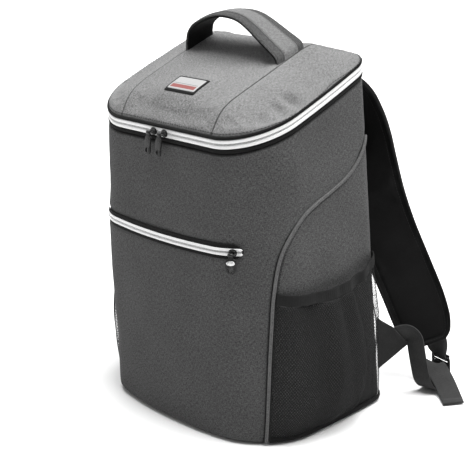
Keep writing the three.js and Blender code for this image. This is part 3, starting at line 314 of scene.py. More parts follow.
def body_top(station):
    return zip_height(station) - BINDING_SHOWN - SEAM_GAP


def seam_stations():
    """The seam as (share of the height above the base's round, station), and where it meets the back seam."""
    q = station_at(seam_yz[:, 0], seam_yz[:, 1])
    up = (seam_yz[:, 1] - BASE_ROUND) / (body_top(q) - BASE_ROUND)
    keep = (seam_yz[:, 1] > -5) & (q > BACK_SEAM)
    return up[keep], q[keep]


seam_up, seam_q = seam_stations()
SEAM_END = seam_up.max()


# Meshes
def grid_faces(rows, columns, wrap=False, start=0, flip=False):
    j, i = np.meshgrid(np.arange(rows - 1), np.arange(columns if wrap else columns - 1), indexing="ij")
    n = (i + 1) % columns
    a, b, c, d = j * columns + i, j * columns + n, (j + 1) * columns + n, (j + 1) * columns + i
    quads = np.stack([a, d, c, b] if flip else [a, b, c, d], -1).reshape(-1, 4)
    return quads + start


def tube_faces(rows, columns, closed=False):
    """Faces of a tube of rings, with a cap at both ends unless its last ring is its first."""
    faces = grid_faces(rows, columns, wrap=True).tolist()
    if not closed:
        faces += [list(range(columns))[::-1], [(rows - 1) * columns + k for k in range(columns)]]
    return faces


def grid_normals(points):
    du, dv = np.gradient(points, axis=1), np.gradient(points, axis=0)
    return unit(np.cross(du, dv))


class Shape:
    """Vertices in millimetres, faces and a UV in millimetres of cloth for each vertex."""

    def __init__(self):
        self.points, self.faces, self.uvs, self.count = [], [], [], 0
        self.crease_shade = None

    def add(self, points, faces, uvs=None):
        """Takes in vertices and the faces between them, which count from the first of these vertices."""
        points = np.asarray(points, float).reshape(-1, 3)
        self.points.append(points)
        self.uvs.append(points[:, :2] if uvs is None else np.asarray(uvs, float).reshape(-1, 2))
        faces = faces.tolist() if isinstance(faces, np.ndarray) else faces
        self.faces += [tuple(k + self.count for k in face) for face in faces]
        self.count += len(points)
        return self

    def sheet(self, points, thickness, uvs, crease_shade=None):
        """A closed slab: a grid of points, and the same grid moved back along its normals."""
        # The crease value is painted shade: the cloth shaders darken their colour by it.
        if crease_shade is not None:
            self.crease_shade = np.tile(np.ravel(crease_shade), 2)
        rows, columns = points.shape[:2]
        normal = grid_normals(points)
        back = points - normal * thickness
        size = rows * columns
        rim = np.concatenate([
            np.arange(columns),
            np.arange(1, rows) * columns + columns - 1,
            (rows - 1) * columns + np.arange(columns - 2, -1, -1),
            np.arange(rows - 2, 0, -1) * columns,
        ])
        after = np.roll(rim, -1)
        sides = np.stack([after, rim, rim + size, after + size], -1)
        both = [grid_faces(rows, columns), grid_faces(rows, columns, start=size, flip=True)]
        return self.add(np.stack([points, back]), np.vstack(both + [sides]), np.stack([uvs, uvs]))

    def sweep(self, at, across, normal, section, closed=False):
        """A section, drawn as (across, out) anticlockwise seen along the route, carried along a route."""
        section = np.asarray(section, float)
        if section.ndim == 2:
            section = np.broadcast_to(section, (len(at),) + section.shape)
        points = at[:, None] + across[:, None] * section[..., :1] + normal[:, None] * section[..., 1:]
        rows, columns = points.shape[:2]
        if closed:
            points = np.concatenate([points, points[:1]])
            rows += 1
        along = lengths(points[:, 0])
        around = lengths(np.vstack([section[0], section[0, :1]]))[:-1]
        uvs = np.stack(np.meshgrid(along, around, indexing="ij"), -1)
        return self.add(points, tube_faces(rows, columns, closed), uvs)

    def mirrored(self):
        """The same shape on the other side."""
        other = Shape()
        other.points = [p * [-1, 1, 1] for p in self.points]
        other.uvs = list(self.uvs)
        other.crease_shade = self.crease_shade
        other.faces = [f[::-1] for f in self.faces]
        other.count = self.count
        return other

    def make(self, name, material, slot, replaces=(), body="bag"):
        """The piece, nowhere below the floor and on its body. Its slot is not used."""
        mesh = bpy.data.meshes.new(name)
        points = np.maximum(np.vstack(self.points), [-np.inf, -np.inf, 0.0]) * MM
        mesh.from_pydata(points.tolist(), [], self.faces)
        uvs = np.vstack(self.uvs) * MM
        layer = mesh.uv_layers.new(name="cloth")
        loops = np.empty(len(mesh.loops), np.int32)
        mesh.loops.foreach_get("vertex_index", loops)
        layer.data.foreach_set("uv", uvs[loops].astype(np.float32).ravel())
        # The crease value goes on as a point attribute, read by the cloth shaders as painted shade.
        if self.crease_shade is not None:
            crease_shade = mesh.attributes.new("crease_shade", "FLOAT", "POINT")
            crease_shade.data.foreach_set("value", self.crease_shade.astype(np.float32))
        mesh.polygons.foreach_set("use_smooth", [True] * len(mesh.polygons))
        mesh.materials.append(material)
        mesh.validate()
        work = bmesh.new()
        work.from_mesh(mesh)
        bmesh.ops.recalc_face_normals(work, faces=work.faces)
        work.to_mesh(mesh)
        work.free()
        mesh.update()
        piece = bpy.data.objects.new(name, mesh)
        bpy.context.scene.collection.objects.link(piece)
        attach(piece, body)
        if replaces:
            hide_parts(*replaces)
        return piece


def make_pair(shape, name, material, slot, *replaced):
    """The shape on the right and mirrored on the left, with names that end in the side."""
    return [
        made.make(f"{name}_{side}", material, slot, [f"{node}_{side}" for node in replaced])
        for side, made in (("right", shape), ("left", shape.mirrored()))
    ]


def superellipse(width, height, power, count):
    """A rounded section round (0, 0), anticlockwise."""
    a = np.linspace(0, 2 * np.pi, count, endpoint=False)
    c, s = np.cos(a), np.sin(a)
    return np.stack([
        width / 2 * np.sign(c) * np.abs(c) ** (2 / power), height / 2 * np.sign(s) * np.abs(s) ** (2 / power)
    ], -1)


def evenly(points, pitch):
    """Points along a line at even distances, and the line's direction at each."""
    s = lengths(points)
    count = max(int(round(s[-1] / pitch)), 1)
    at = (np.arange(count) + 0.5) * s[-1] / count
    there = lambda distance: np.stack([np.interp(distance, s, points[:, k]) for k in range(3)], -1)
    return there(at), unit(there(at + pitch * 0.2) - there(at - pitch * 0.2))


def even_picks(line, count):
    """Which of a line's points come at count even distances along it."""
    s = lengths(line)
    return np.clip(np.searchsorted(s, (np.arange(count) + 0.5) * s[-1] / count), 0, len(line) - 1)


def beads(shape, at, run, normal, length, width, height, sides=5):
    """Small round-ended rods, such as stitches or zip teeth, one at each point."""
    across = unit(np.cross(normal, run))
    normal = unit(np.cross(run, across))
    rings = np.array([(-0.5, 0.45), (-0.22, 1), (0.22, 1), (0.5, 0.45)])
    a = np.linspace(0, 2 * np.pi, sides, endpoint=False)
    local = np.stack([
        np.repeat(rings[:, 0] * length, sides),
        np.outer(rings[:, 1], np.cos(a)).ravel() * width / 2,
        np.outer(rings[:, 1], np.sin(a)).ravel() * height / 2,
    ], -1)
    points = (
        at[:, None] + run[:, None] * local[None, :, :1] + across[:, None] * local[None, :, 1:2]
        + normal[:, None] * local[None, :, 2:]
    )
    bead = tube_faces(len(rings), sides)
    faces = [[k + n * len(local) for k in face] for n in range(len(at)) for face in bead]
    return shape.add(points, faces, np.tile(local[:, :2], (len(at), 1)))


def stitches(shape, line, normal, pitch, *size):
    """Stitches at that pitch along a line, each as the normals at its share of the line say."""
    here, run = evenly(line, pitch)
    share = (np.arange(len(here)) + 0.5) / len(here)
    pick = np.clip(share * len(normal), 0, len(normal) - 1).astype(int)
    return beads(shape, here, run, normal[pick], *size)


# Materials
class Paint:
    """A node material with one shader."""

    def __init__(self, name, **values):
        self.material = bpy.data.materials.new(name)
        self.material.use_nodes = True
        self.tree = self.material.node_tree
        self.shader = self.tree.nodes["Principled BSDF"]
        self.without_uvs = False
        for socket, value in values.items():
            self.shader.inputs[socket.replace("_", " ")].default_value = value

    def node(self, kind, **inputs):
        made = self.tree.nodes.new(kind)
        for socket, value in inputs.items():
            self.put(value, made.inputs[socket.replace("_", " ")])
        return made

    def put(self, value, socket):
        if isinstance(value, bpy.types.NodeSocket):
            self.tree.links.new(value, socket)
        else:
            socket.default_value = value

    def math(self, operation, a, b=0.0):
        made = self.tree.nodes.new("ShaderNodeMath")
        made.operation = operation
        self.put(a, made.inputs[0])
        self.put(b, made.inputs[1])
        return made.outputs[0]

    def times(self, a, b):
        return self.math("MULTIPLY", a, b)

    def plus(self, a, b):
        return self.math("ADD", a, b)

    def cloth(self):
        """Across and along the cloth, in millimetres."""
        source = self.place() if self.without_uvs else self.node("ShaderNodeUVMap").outputs[0]
        split = self.node("ShaderNodeSeparateXYZ", Vector=source)
        return self.times(split.outputs[0], 1000.0), self.times(split.outputs[1], 1000.0)

    def place(self):
        """The object's own coordinates."""
        return self.node("ShaderNodeTexCoord").outputs["Object"]

    def vector(self, x, y, z=0.0):
        return self.node("ShaderNodeCombineXYZ", X=x, Y=y, Z=z).outputs[0]

    def painted_crease_shade(self):
        """1 on open cloth, less in the creases beside seams and along the lid's rim: painted shade in the
        colour.
        """
        crease_shade = self.node("ShaderNodeAttribute")
        crease_shade.attribute_name = "crease_shade"
        return self.math("SUBTRACT", 1.0, self.times(crease_shade.outputs["Fac"], 0.85))

    def rubbed(self, low, high, worn):
        """How far the edges are rubbed bare, from 0 to worn."""
        return self.remap(self.node("ShaderNodeNewGeometry").outputs["Pointiness"], low, high, 0.0, worn)

    def noise(self, vector, scale, detail, roughness):
        made = self.node("ShaderNodeTexNoise", Vector=vector, Scale=scale, Detail=detail, Roughness=roughness)
        return made.outputs[0]

    def remap(self, value, low, high, to_low=0.0, to_high=1.0):
        made = self.node("ShaderNodeMapRange", Value=value)
        for k, v in zip((1, 2, 3, 4), (low, high, to_low, to_high)):
            made.inputs[k].default_value = v
        return made.outputs[0]

    def blend(self, factor, a, b):
        made = self.tree.nodes.new("ShaderNodeMix")
        made.data_type = "RGBA"
        self.put(factor, made.inputs[0])
        for socket, value in ((made.inputs[6], a), (made.inputs[7], b)):
            self.put(value if isinstance(value, bpy.types.NodeSocket) else (*value, 1.0), socket)
        return made.outputs[2]

    def relief(self, *layers):
        """Bump from (height, distance in millimetres) layers."""
        normal = None
        for height, distance in layers:
            bump = self.node("ShaderNodeBump", Height=height)
            bump.inputs["Strength"].default_value = 1.0
            bump.inputs["Distance"].default_value = distance * MM
            if normal:
                self.tree.links.new(normal, bump.inputs["Normal"])
            normal = bump.outputs[0]
        self.tree.links.new(normal, self.shader.inputs["Normal"])

    def colour(self, value):
        self.put(value, self.shader.inputs["Base Color"])

    def scaled(self, colour, level):
        made = self.tree.nodes.new("ShaderNodeVectorMath")
        made.operation = "SCALE"
        self.put(colour, made.inputs[0])
        self.put(level, made.inputs["Scale"])
        return made.outputs[0]

    def rough(self, value):
        self.put(value, self.shader.inputs["Roughness"])

    def weave(self, pitch):
        """Height of a plain weave, 0 to 1, with threads of that pitch in millimetres."""
        u, v = self.cloth()
        u, v = self.math("DIVIDE", u, pitch), self.math("DIVIDE", v, pitch)
        arch = lambda x: self.math("ABSOLUTE", self.math("SINE", self.times(x, math.pi)))
        parity = self.plus(self.math("FLOOR", u), self.math("FLOOR", v))
        odd = self.math("ABSOLUTE", self.math("MODULO", parity, 2.0))
        warp, weft = arch(u), arch(v)
        over_warp = self.times(warp, self.plus(0.45, self.times(weft, 0.55)))
        over_weft = self.times(weft, self.plus(0.45, self.times(warp, 0.55)))
        return self.plus(over_warp, self.times(odd, self.math("SUBTRACT", over_weft, over_warp)))

    def ribs(self, along, pitch):
        """Height of rounded ribs across a direction, 0 to 1."""
        return self.plus(self.times(self.math("SINE", self.times(along, 2 * math.pi / pitch)), 0.5), 0.5)


def grey(value):
    return (value, value, value)


# Pointiness where an edge starts to look rubbed, and where it is rubbed most
CLOTH_EDGES, MOULDED_EDGES = (0.53, 0.62), (0.54, 0.66)


def melange(name, dark, light, worn=0.12, pitch=0.55):
    """Two-tone woven polyester: dark and light threads, heather flecks, painted shade in the creases by the
    seams, and wear.
    """
    paint = Paint(name, Roughness=0.95, Sheen_Weight=0.03, Sheen_Roughness=0.5, Specular_IOR_Level=0.12)
    u, v = paint.cloth()
    weave = paint.weave(pitch)
    long, short = 0.28, 1.25
    warp = paint.noise(paint.vector(paint.times(u, short), paint.times(v, long)), 1.0, 3.0, 0.7)
    weft = paint.noise(paint.vector(paint.times(u, long), paint.times(v, short), 7.0), 1.0, 3.0, 0.7)
    fine = paint.noise(paint.vector(u, v, 3.0), 1.3, 3.0, 0.75)
    flecks = paint.plus(paint.plus(warp, weft), paint.times(fine, 1.1))
    body = paint.blend(paint.remap(flecks, 1.32, 1.78), dark, light)
    broad = paint.noise(paint.vector(u, v, 11.0), 0.018, 3.0, 0.5)
    shade = paint.remap(broad, 0.3, 0.7, 0.92, 1.08)
    threads = paint.remap(weave, 0.0, 1.0, 0.66, 1.14)
    # The colour is darkened in the creases beside seams: painted shade.
    level = paint.times(paint.times(shade, threads), paint.painted_crease_shade())
    bare = tuple(min(1.0, 1.5 * c) for c in light)
    paint.colour(paint.blend(paint.rubbed(*CLOTH_EDGES, worn), paint.scaled(body, level), bare))
    paint.rough(paint.remap(fine, 0.3, 0.7, 0.9, 1.0))
    paint.relief((weave, 0.10), (flecks, 0.06))
    return paint.material


def plain_cloth(
    name, value, pitch=0.6, depth=0.1, rib=None, worn=0.15, rough=0.92, shine=0.1, lengthwise=False,
    without_uvs=False,
):
    """One-tone woven cloth, or ribbed tape where rib gives the pitch of its cross or lengthwise ribs."""
    paint = Paint(name, Roughness=rough, Sheen_Weight=0.02, Sheen_Roughness=0.45, Specular_IOR_Level=shine)
    paint.without_uvs = without_uvs
    u, v = paint.cloth()
    fine = paint.noise(paint.vector(u, v, 5.0), 1.3, 3.0, 0.7)
    broad = paint.noise(paint.vector(u, v, 2.0), 0.03, 2.0, 0.5)
    height = paint.ribs(v if lengthwise else u, rib) if rib else paint.weave(pitch)
    level = paint.times(paint.remap(height, 0.0, 1.0, 0.45, 1.25), paint.remap(fine, 0.3, 0.7, 0.6, 1.4))
    # The colour is darkened in the creases beside seams: painted shade.
    level = paint.times(paint.times(level, paint.painted_crease_shade()), paint.remap(broad, 0.3, 0.7, 0.8, 1.15))
    bare = grey(min(1.0, value * 2.2 + 0.01))
    paint.colour(paint.blend(paint.rubbed(*CLOTH_EDGES, worn), paint.scaled(grey(value), level), bare))
    paint.rough(paint.remap(fine, 0.3, 0.7, rough - 0.08, min(1.0, rough + 0.06)))
    paint.relief((height, depth), (fine, depth * 0.4))
    return paint.material


def silver_tape():
    """Bright coated zip tape with fine cross ribs and faint scuffs."""
    paint = Paint("silver_tape", Roughness=0.38, Metallic=0.15, Coat_Weight=0.25, Coat_Roughness=0.3)
    u, v = paint.cloth()
    rib = paint.ribs(u, 0.7)
    scuff = paint.noise(paint.vector(u, v), 0.4, 4.0, 0.65)
    tone = paint.times(paint.remap(rib, 0.0, 1.0, 0.88, 1.0), paint.remap(scuff, 0.3, 0.72, 0.82, 1.0))
    paint.colour(paint.blend(tone, grey(0.1), grey(0.68)))
    paint.rough(paint.remap(scuff, 0.3, 0.7, 0.3, 0.5))
    paint.relief((rib, 0.04), (scuff, 0.03))
    return paint.material


def moulded(name, value, rough, metal=0.0, grain=0.02, shine=0.5, worn=0.25, bare=0.3):
    """Moulded plastic or painted metal with fine grain, handling marks and lighter rubbed edges."""
    paint = Paint(name, Roughness=rough, Metallic=metal, Specular_IOR_Level=shine)
    place = paint.place()
    marks = paint.noise(place, 420.0, 3.0, 0.6)
    speckle = paint.noise(place, 2600.0, 2.0, 0.6)
    tone = paint.blend(paint.remap(marks, 0.35, 0.7), grey(value * 0.8), grey(value * 1.35))
    rubbed = paint.times(paint.rubbed(*MOULDED_EDGES, worn), paint.remap(marks, 0.35, 0.6, 0.3, 1.0))
    paint.colour(paint.blend(rubbed, tone, grey(bare)))
    paint.rough(paint.remap(marks, 0.3, 0.7, max(rough - 0.08, 0.05), rough + 0.1))
    paint.relief((speckle, grain))
    return paint.material


def label_print():
    """A pale woven panel with a muted red stripe across its lower part and a dark line over the stripe."""
    paint = Paint("label_print", Roughness=0.55, Sheen_Weight=0.1)
    u, v = paint.cloth()
    speckle = paint.noise(paint.vector(u, v), 2.5, 3.0, 0.6)
    mottle = paint.remap(speckle, 0.3, 0.7)
    pale = paint.blend(mottle, grey(0.2), grey(0.32))
    red = paint.blend(mottle, (0.12, 0.02, 0.018), (0.2, 0.04, 0.035))
    within = paint.math("LESS_THAN", paint.math("ABSOLUTE", u), 20.5)

    def band(low, high):
        inside = paint.times(paint.math("GREATER_THAN", v, low), paint.math("LESS_THAN", v, high))
        return paint.times(inside, within)

    paint.colour(paint.blend(band(2.6, 8.2), paint.blend(band(9.8, 10.5), pale, grey(0.05)), red))
    paint.rough(paint.remap(speckle, 0.3, 0.7, 0.48, 0.62))
    paint.relief((paint.weave(0.35), 0.03), (speckle, 0.02))
    return paint.material


GREY = melange("grey_melange", grey(0.019), grey(0.096))
# The lid's cloth is the body's grey melange painted lighter: painted light, standing for the top light on the
# lid.
LID_GREY_PAINTED_LIGHT = melange("lid_melange_painted_light", grey(0.072), grey(0.236))
PIPE_GREY = melange("piping_melange", grey(0.05), grey(0.14), worn=0.3, pitch=0.45)
HANDLE_RIB = melange("handle_rib", grey(0.07), grey(0.2), pitch=0.8)
BLACK = plain_cloth("black_cloth", 0.0065, pitch=0.7, depth=0.12)
TAPE = plain_cloth("dark_tape", 0.008, rib=0.55, depth=0.08)
RIBBED_BLACK = plain_cloth("ribbed_black", 0.018, rib=1.1, depth=0.16, shine=0.15)
BINDING = plain_cloth("binding_tape", 0.008, rib=0.5, depth=0.07)
WEBBING = plain_cloth("ribbed_webbing", 0.032, rib=1.3, depth=0.2, shine=0.2, lengthwise=True)
NET = plain_cloth("net_thread", 0.009, rib=0.5, depth=0.03, worn=0.0, shine=0.15, rough=0.7)
ELASTIC = plain_cloth("elastic", 0.013, pitch=0.9, depth=0.1)
THREAD = plain_cloth("dark_thread", 0.006, rib=0.4, depth=0.02)
PALE_THREAD = plain_cloth("grey_thread", 0.09, rib=0.4, depth=0.02)
PAD_THREAD = plain_cloth("pad_thread", 0.014, rib=0.4, depth=0.02)
SILVER = silver_tape()
COIL = moulded("zip_coil", 0.45, 0.45, grain=0.01)
BLACK_METAL = moulded("black_metal", 0.004, 0.3, shine=0.3, worn=0.25, bare=0.1)
BRIGHT = moulded("bright_metal", 0.5, 0.3, metal=0.9, bare=0.7)
PLASTIC = moulded("black_plastic", 0.006, 0.5, shine=0.25, worn=0.15, bare=0.05)
RUBBER = moulded("label_rim", 0.006, 0.7, shine=0.15, worn=0.2, bare=0.05)
PRINT = label_print()


# Body panels
def body_point(q, up):
    """The body's outside: up below 0 goes round the base's edge, 0 to 1 climbs to the binding."""
    angle = np.clip(up + 1, 0, 1) * np.pi / 2
    inset = np.where(up < 0, BASE_ROUND * (1 - np.sin(angle)), 0.0)
    z = np.where(up < 0, BASE_ROUND * (1 - np.cos(angle)), mix(BASE_ROUND, body_top(q), np.clip(up, 0, 1)))
    return skin(q, z, -inset)


OUTLINE_HEIGHT = 160.0


def around(q):
    """Distance round the body from the middle of its front, in millimetres, negative on the left."""
    table = np.linspace(0, 5, 400)
    s = lengths(skin(table, OUTLINE_HEIGHT))
    return np.sign(q) * np.interp(np.abs(q), table, s[-1] - s)


def tucked(near, deep, soft, radius=1.5):
    """How far cloth lies below its surface near a sewn edge: a soft pull, then a rounded fold."""
    fold = radius * (1 - np.sqrt(1 - np.clip(1 - near / radius, 0, 1) ** 2))
    return -deep * (1 - smooth(near / soft)) ** 1.5 - fold


def edge_distance(points):
    """Distance along the grid to its left, right, low and high edges."""
    columns = np.linalg.norm(np.diff(points, axis=1), axis=-1)
    left = np.concatenate([np.zeros((len(points), 1)), np.cumsum(columns, axis=1)], 1)
    rows = np.linalg.norm(np.diff(points, axis=0), axis=-1)
    low = np.concatenate([np.zeros((1, points.shape[1])), np.cumsum(rows, axis=0)], 0)
    return left, left[:, -1:] - left, low, low[-1:] - low


def body_panel(q, up, seams, seed, dent=0.9, piped=()):
    """A cloth panel with soft unevenness, tucked in along its seams."""
    points = body_point(q, up)
    across = around(q)
    uvs = np.stack([across, points[..., 2]], -1)
    near = np.full(across.shape, 1e3)
    for name, distance in zip(("left", "right", "low", "high"), edge_distance(points)):
        if name in seams:
            covered = PIPING_WIDTH / 2 - 0.2 if name in piped else 0
            near = np.minimum(near, np.maximum(distance - covered, 0))
    normal = grid_normals(points)
    middle = len(points) // 2, points.shape[1] // 2
    if (normal[middle] * points[middle]).sum() < 0:
        normal = -normal
    lift = tucked(near, 1.1, 6.0)
    uneven = lumps(across, points[..., 2], 62, seed) + 0.5 * lumps(across, points[..., 2], 27, seed + 1)
    lift += dent * uneven * smooth(near / 25.0)
    lift += 0.16 * lumps(across, points[..., 2], 9, seed + 2) * smooth(near / 8.0)
    return points, normal, uvs, lift, near


def add_panel(points, normal, uvs, lift, near):
    """The panel's cloth, its outer face turned outward."""
    # The crease value paints shade into the colour beside the seams.
    moved, crease_shade = points + normal * lift[..., None], np.exp(-((near / 1.5) ** 2))
    if (grid_normals(moved) * normal).sum(-1).mean() < 0:
        moved, uvs, crease_shade = moved[:, ::-1], uvs[:, ::-1], crease_shade[:, ::-1]
    return Shape().sheet(moved, PANEL_THICKNESS, uvs, crease_shade)


def seam_station(up):
    return np.where(up < SEAM_END, np.interp(up, seam_up, seam_q), BACK_SEAM)


def climbing_rows(even, along_seam):
    """Rows up the body: some at even heights, and some at even steps along the piped seam."""
    s = lengths(body_point(seam_q, seam_up))
    by_seam = np.interp(np.linspace(0, s[-1], along_seam), s, seam_up)
    climb = np.concatenate([np.linspace(0, 1, even), by_seam])
    return np.concatenate([np.linspace(-1, 0, 8)[:-1], np.unique(np.round(np.clip(climb, 0, 1), 4))])


ROWS = climbing_rows(90, 110)


def front_panel():
    t = np.linspace(-1, 1, 117)
    up, share = np.meshgrid(ROWS, t * (1.35 - 0.35 * t * t), indexing="ij")
    q = mix(5.0, seam_station(up), np.abs(share))
    q = np.where(share < 0, -q, q)
    q = np.where(share == 0, 5.0, q)
    seams = ("left", "right", "high")
    points, normal, uvs, lift, near = body_panel(q, up, seams, 11, piped=("left", "right"))
    s, z = uvs[..., 0], points[..., 2]
    # The pocket's zip lies in a shallow groove between two soft folds.
    high = z - POCKET_ZIP_HEIGHT
    reach = float(around(station_at_x(POCKET_ZIP_HALF_SPAN, POCKET_ZIP_HEIGHT)))
    ends = smooth((reach + 5 - np.abs(s)) / 10)
    groove = 1 - smooth((np.abs(high) - 6.5) / 4.0)
    fold = np.exp(-(((np.abs(high) - 13.0) / 4.5) ** 2))
    lift = lift * (1 - 0.8 * groove * ends) + ends * (0.9 * fold - 0.5 * groove)
    # Below the pocket's zip the cloth sags a little and pulls in long shallow lines.
    below = smooth(-high / 30) * smooth(z / 60)
    lift += 0.8 * below * lumps(s + 0.35 * z, z * 0.5, 48, 31) * smooth(near / 30)
    # Shallow pulls that run up from the corners to the lid's zip
    top = smooth((z - 250) / 60) * smooth(near / 12)
    lift += 0.5 * top * lumps(s, z * 0.45, 21, 44)
    shape = add_panel(points, normal, uvs, lift, near)
    return shape.make("front_cloth", GREY, "grey_cloth", ["front_panel"])


def side_panel():
    t = mix(np.linspace(0, 1, 50), smooth(np.linspace(0, 1, 50)), 0.7)
    rows = np.append(ROWS[ROWS < SEAM_END * 0.995], SEAM_END * 0.999)
    up, share = np.meshgrid(rows, t, indexing="ij")
    q = mix(seam_station(up), BACK_SEAM, share)
    points, normal, uvs, lift, near = body_panel(q, up, ("left", "right"), 17, 0.7, piped=("left",))
    return add_panel(points, normal, uvs, lift, near)


def back_panel():
    t = np.linspace(-1, 1, 65)
    up, share = np.meshgrid(np.append(ROWS[:-1:2], ROWS[-1]), t, indexing="ij")
    q = share * BACK_SEAM
    points, normal, uvs, lift, near = body_panel(q, up, ("left", "right", "high"), 23)
    x, z = points[..., 0], points[..., 2]
    # A foam back: three long pads parted by two sewn channels, inside a sewn border
    sides, foot, top = BACK_PAD_HALF - np.abs(x), z - BACK_PAD_FOOT, body_top(0.0) - BACK_PAD_TOP_DROP - z
    flat = smooth(sides / 10) * smooth(foot / 12) * smooth(top / 12)
    channel = np.minimum(np.abs(np.abs(x) - BACK_CHANNEL_X), 30.0)
    border = np.minimum.reduce([sides, foot, top])
    crown = smooth(channel / 14) * smooth(border / 14)
    lift += flat * (2.2 * crown - 0.6 * (1 - smooth(channel / 3.5)) * smooth(border / 8))
    lift -= 0.7 * (1 - smooth(np.abs(border) / 2.5))
    uvs = np.stack([x, z], -1)
    shape = add_panel(points, normal, uvs, lift, near)
    return shape.make("back_cloth", BLACK, "black_cloth", ["back_panel"])


front_panel()
make_pair(side_panel(), "side_cloth", GREY, "grey_cloth", "side_panel")
back_panel()


# Piping along the side seam
def piping():
    back = skin(BACK_SEAM, seam_yz[:, 1])[:, 1] - PIPING_WIDTH
    keep = (seam_yz[:, 1] > HEM_BOTTOM) & (seam_yz[:, 0] < back)
    line = seam_yz[keep]
    q = station_at(line[:, 0], line[:, 1])
    at, normal = skin(q, line[:, 1]), outward(q, line[:, 1])
    run = unit(np.gradient(at, axis=0))
    across = unit(np.cross(run, normal))
    normal = unit(np.cross(across, run))
    section = [
        (-2.0, 0.2), (-1.75, -0.4), (-0.6, -0.6), (0.6, -0.6), (1.75, -0.4), (2.0, 0.2), (1.95, 1.2),
        (1.6, 1.9), (1.05, 2.25), (0.5, 2.25), (0.22, 1.95), (0.0, 1.82), (-0.22, 1.95), (-0.5, 2.25),
        (-1.05, 2.25), (-1.6, 1.9), (-1.95, 1.2),
    ]
    here, run_here = evenly(at + across * 4.6 + normal * 0.1, 3.2)
    stitch = beads(Shape(), here, run_here, normal[even_picks(at, len(here))], 2.2, 0.55, 0.5)
    return Shape().sweep(at, across, normal, section), stitch


pipe, pipe_stitch = piping()
make_pair(pipe, "piping", PIPE_GREY, "grey_cloth", "side_piping")
make_pair(pipe_stitch, "piping_stitch", THREAD, "dark_tape")


# The zip round the lid
LOWER_TRIM = (0.0, ZIP_TRIM)
COIL_ROW = (LOWER_TRIM[1] + SEAM_GAP, LOWER_TRIM[1] + SEAM_GAP + ZIP_COIL)
UPPER_TRIM = (COIL_ROW[1] + SEAM_GAP, COIL_ROW[1] + SEAM_GAP + ZIP_TRIM)
LID_BINDING = (UPPER_TRIM[1] + SEAM_GAP, UPPER_TRIM[1] + SEAM_GAP + LID_BINDING_HEIGHT)
LID_EDGE = LID_BINDING[1] + SEAM_GAP
# The silver edges lap over the sides of the coil
TRIM_LAP = 0.75


def round_stations(end, steps, count, height):
    """Stations from the right end round the front to the left one, evenly along the outline at a height."""
    q = np.concatenate([np.linspace(end, 5, steps), -np.linspace(5, end, steps)[1:]])
    s = lengths(skin(q, height(q)))
    even = np.interp(np.linspace(0, s[-1], count), s, np.where(q > 0, q, 10 + q))
    return np.where(even <= 5, even, even - 10)


def outward_round(q, z):
    """Outward directions at stations of either side."""
    return outward(np.abs(q), z) * np.where(q[:, None] < 0, [-1.0, 1.0, 1.0], 1.0)


ROUND = round_stations(BACK_SEAM, 700, 401, zip_height)
RIM = skin(ROUND, zip_height(ROUND))
RIM_NORMAL = outward_round(ROUND, zip_height(ROUND))
UPWARD = np.broadcast_to([0.0, 0.0, 1.0], RIM.shape)


def zip_band(low, high, foot, out, wave, wave_size, seed, crown=0.35):
    """A soft band round the zip between two heights, on its foot and out from the body."""
    middle, half = (low + high) / 2, (high - low) / 2
    section = superellipse(2 * half, out - foot, 3.2, 20)
    section[:, 1] += (out + foot) / 2
    section[:, 1] += np.where(section[:, 1] > (foot + out) / 2, crown * (1 - (section[:, 0] / half) ** 2), 0)
    at = RIM + UPWARD * middle
    s = lengths(at)
    at = at + UPWARD * (wave * lumps(s, s * 0, wave_size, seed))[:, None]
    at = at + RIM_NORMAL * (wave * 0.8 * lumps(s, s * 0 + 300, wave_size, seed))[:, None]
    return Shape().sweep(at, UPWARD, RIM_NORMAL, section)


for name, material, slot, node, band in (
    (
        "body_binding_tape", BINDING, "dark_tape", "body_binding",
        (-BINDING_SHOWN, -SEAM_GAP, -2.6, 0.4, 0.12, 30, 3),
    ),
    (
        "zip_edge_lower", SILVER, "silver_tape", "lid_zip_lower_trim",
        (LOWER_TRIM[0], LOWER_TRIM[1] + TRIM_LAP, -1.4, 0.3, 0.06, 22, 4, 0.3),
    ),
    (
        "zip_edge_upper", SILVER, "silver_tape", "lid_zip_upper_trim",
        (UPPER_TRIM[0] - TRIM_LAP, UPPER_TRIM[1], -1.4, 0.3, 0.06, 22, 5, 0.3),
    ),
    ("lid_binding_tape", BINDING, "dark_tape", "lid_binding", (*LID_BINDING, -2.6, 0.5, 0.1, 30, 6)),
):
    zip_band(*band).make(name, material, slot, [node])


def coil(at, normal, up, pitch, width):
    """Two rows of interlocked teeth."""
    shape = Shape()
    here, along = evenly(at, pitch)
    pick = even_picks(at, len(here))
    n, u = normal[pick], up[pick]
    for side in (-1, 1):
        shift = along * (pitch / 4 * side) + u * (side * width * 0.2)
        tilt = unit(u + along * 0.25 * side)
        beads(shape, here + shift, tilt, n, width * 0.66, pitch * 0.52, 1.15, sides=6)
    return shape


TOOTH_PITCH = 1.5
COIL_MIDDLE = sum(COIL_ROW) / 2
coil_at = RIM + UPWARD * COIL_MIDDLE
lid_teeth = coil(coil_at - RIM_NORMAL * 0.55, RIM_NORMAL, UPWARD, TOOTH_PITCH, ZIP_COIL)
lid_teeth.make("lid_zip_teeth", COIL, "zip_coil", ["lid_zip_coil"])
core = superellipse(ZIP_COIL + 0.5, 0.9, 3, 10)
Shape().sweep(coil_at - RIM_NORMAL * 1.1, UPWARD, RIM_NORMAL, core).make("lid_zip_core", TAPE, "dark_tape")


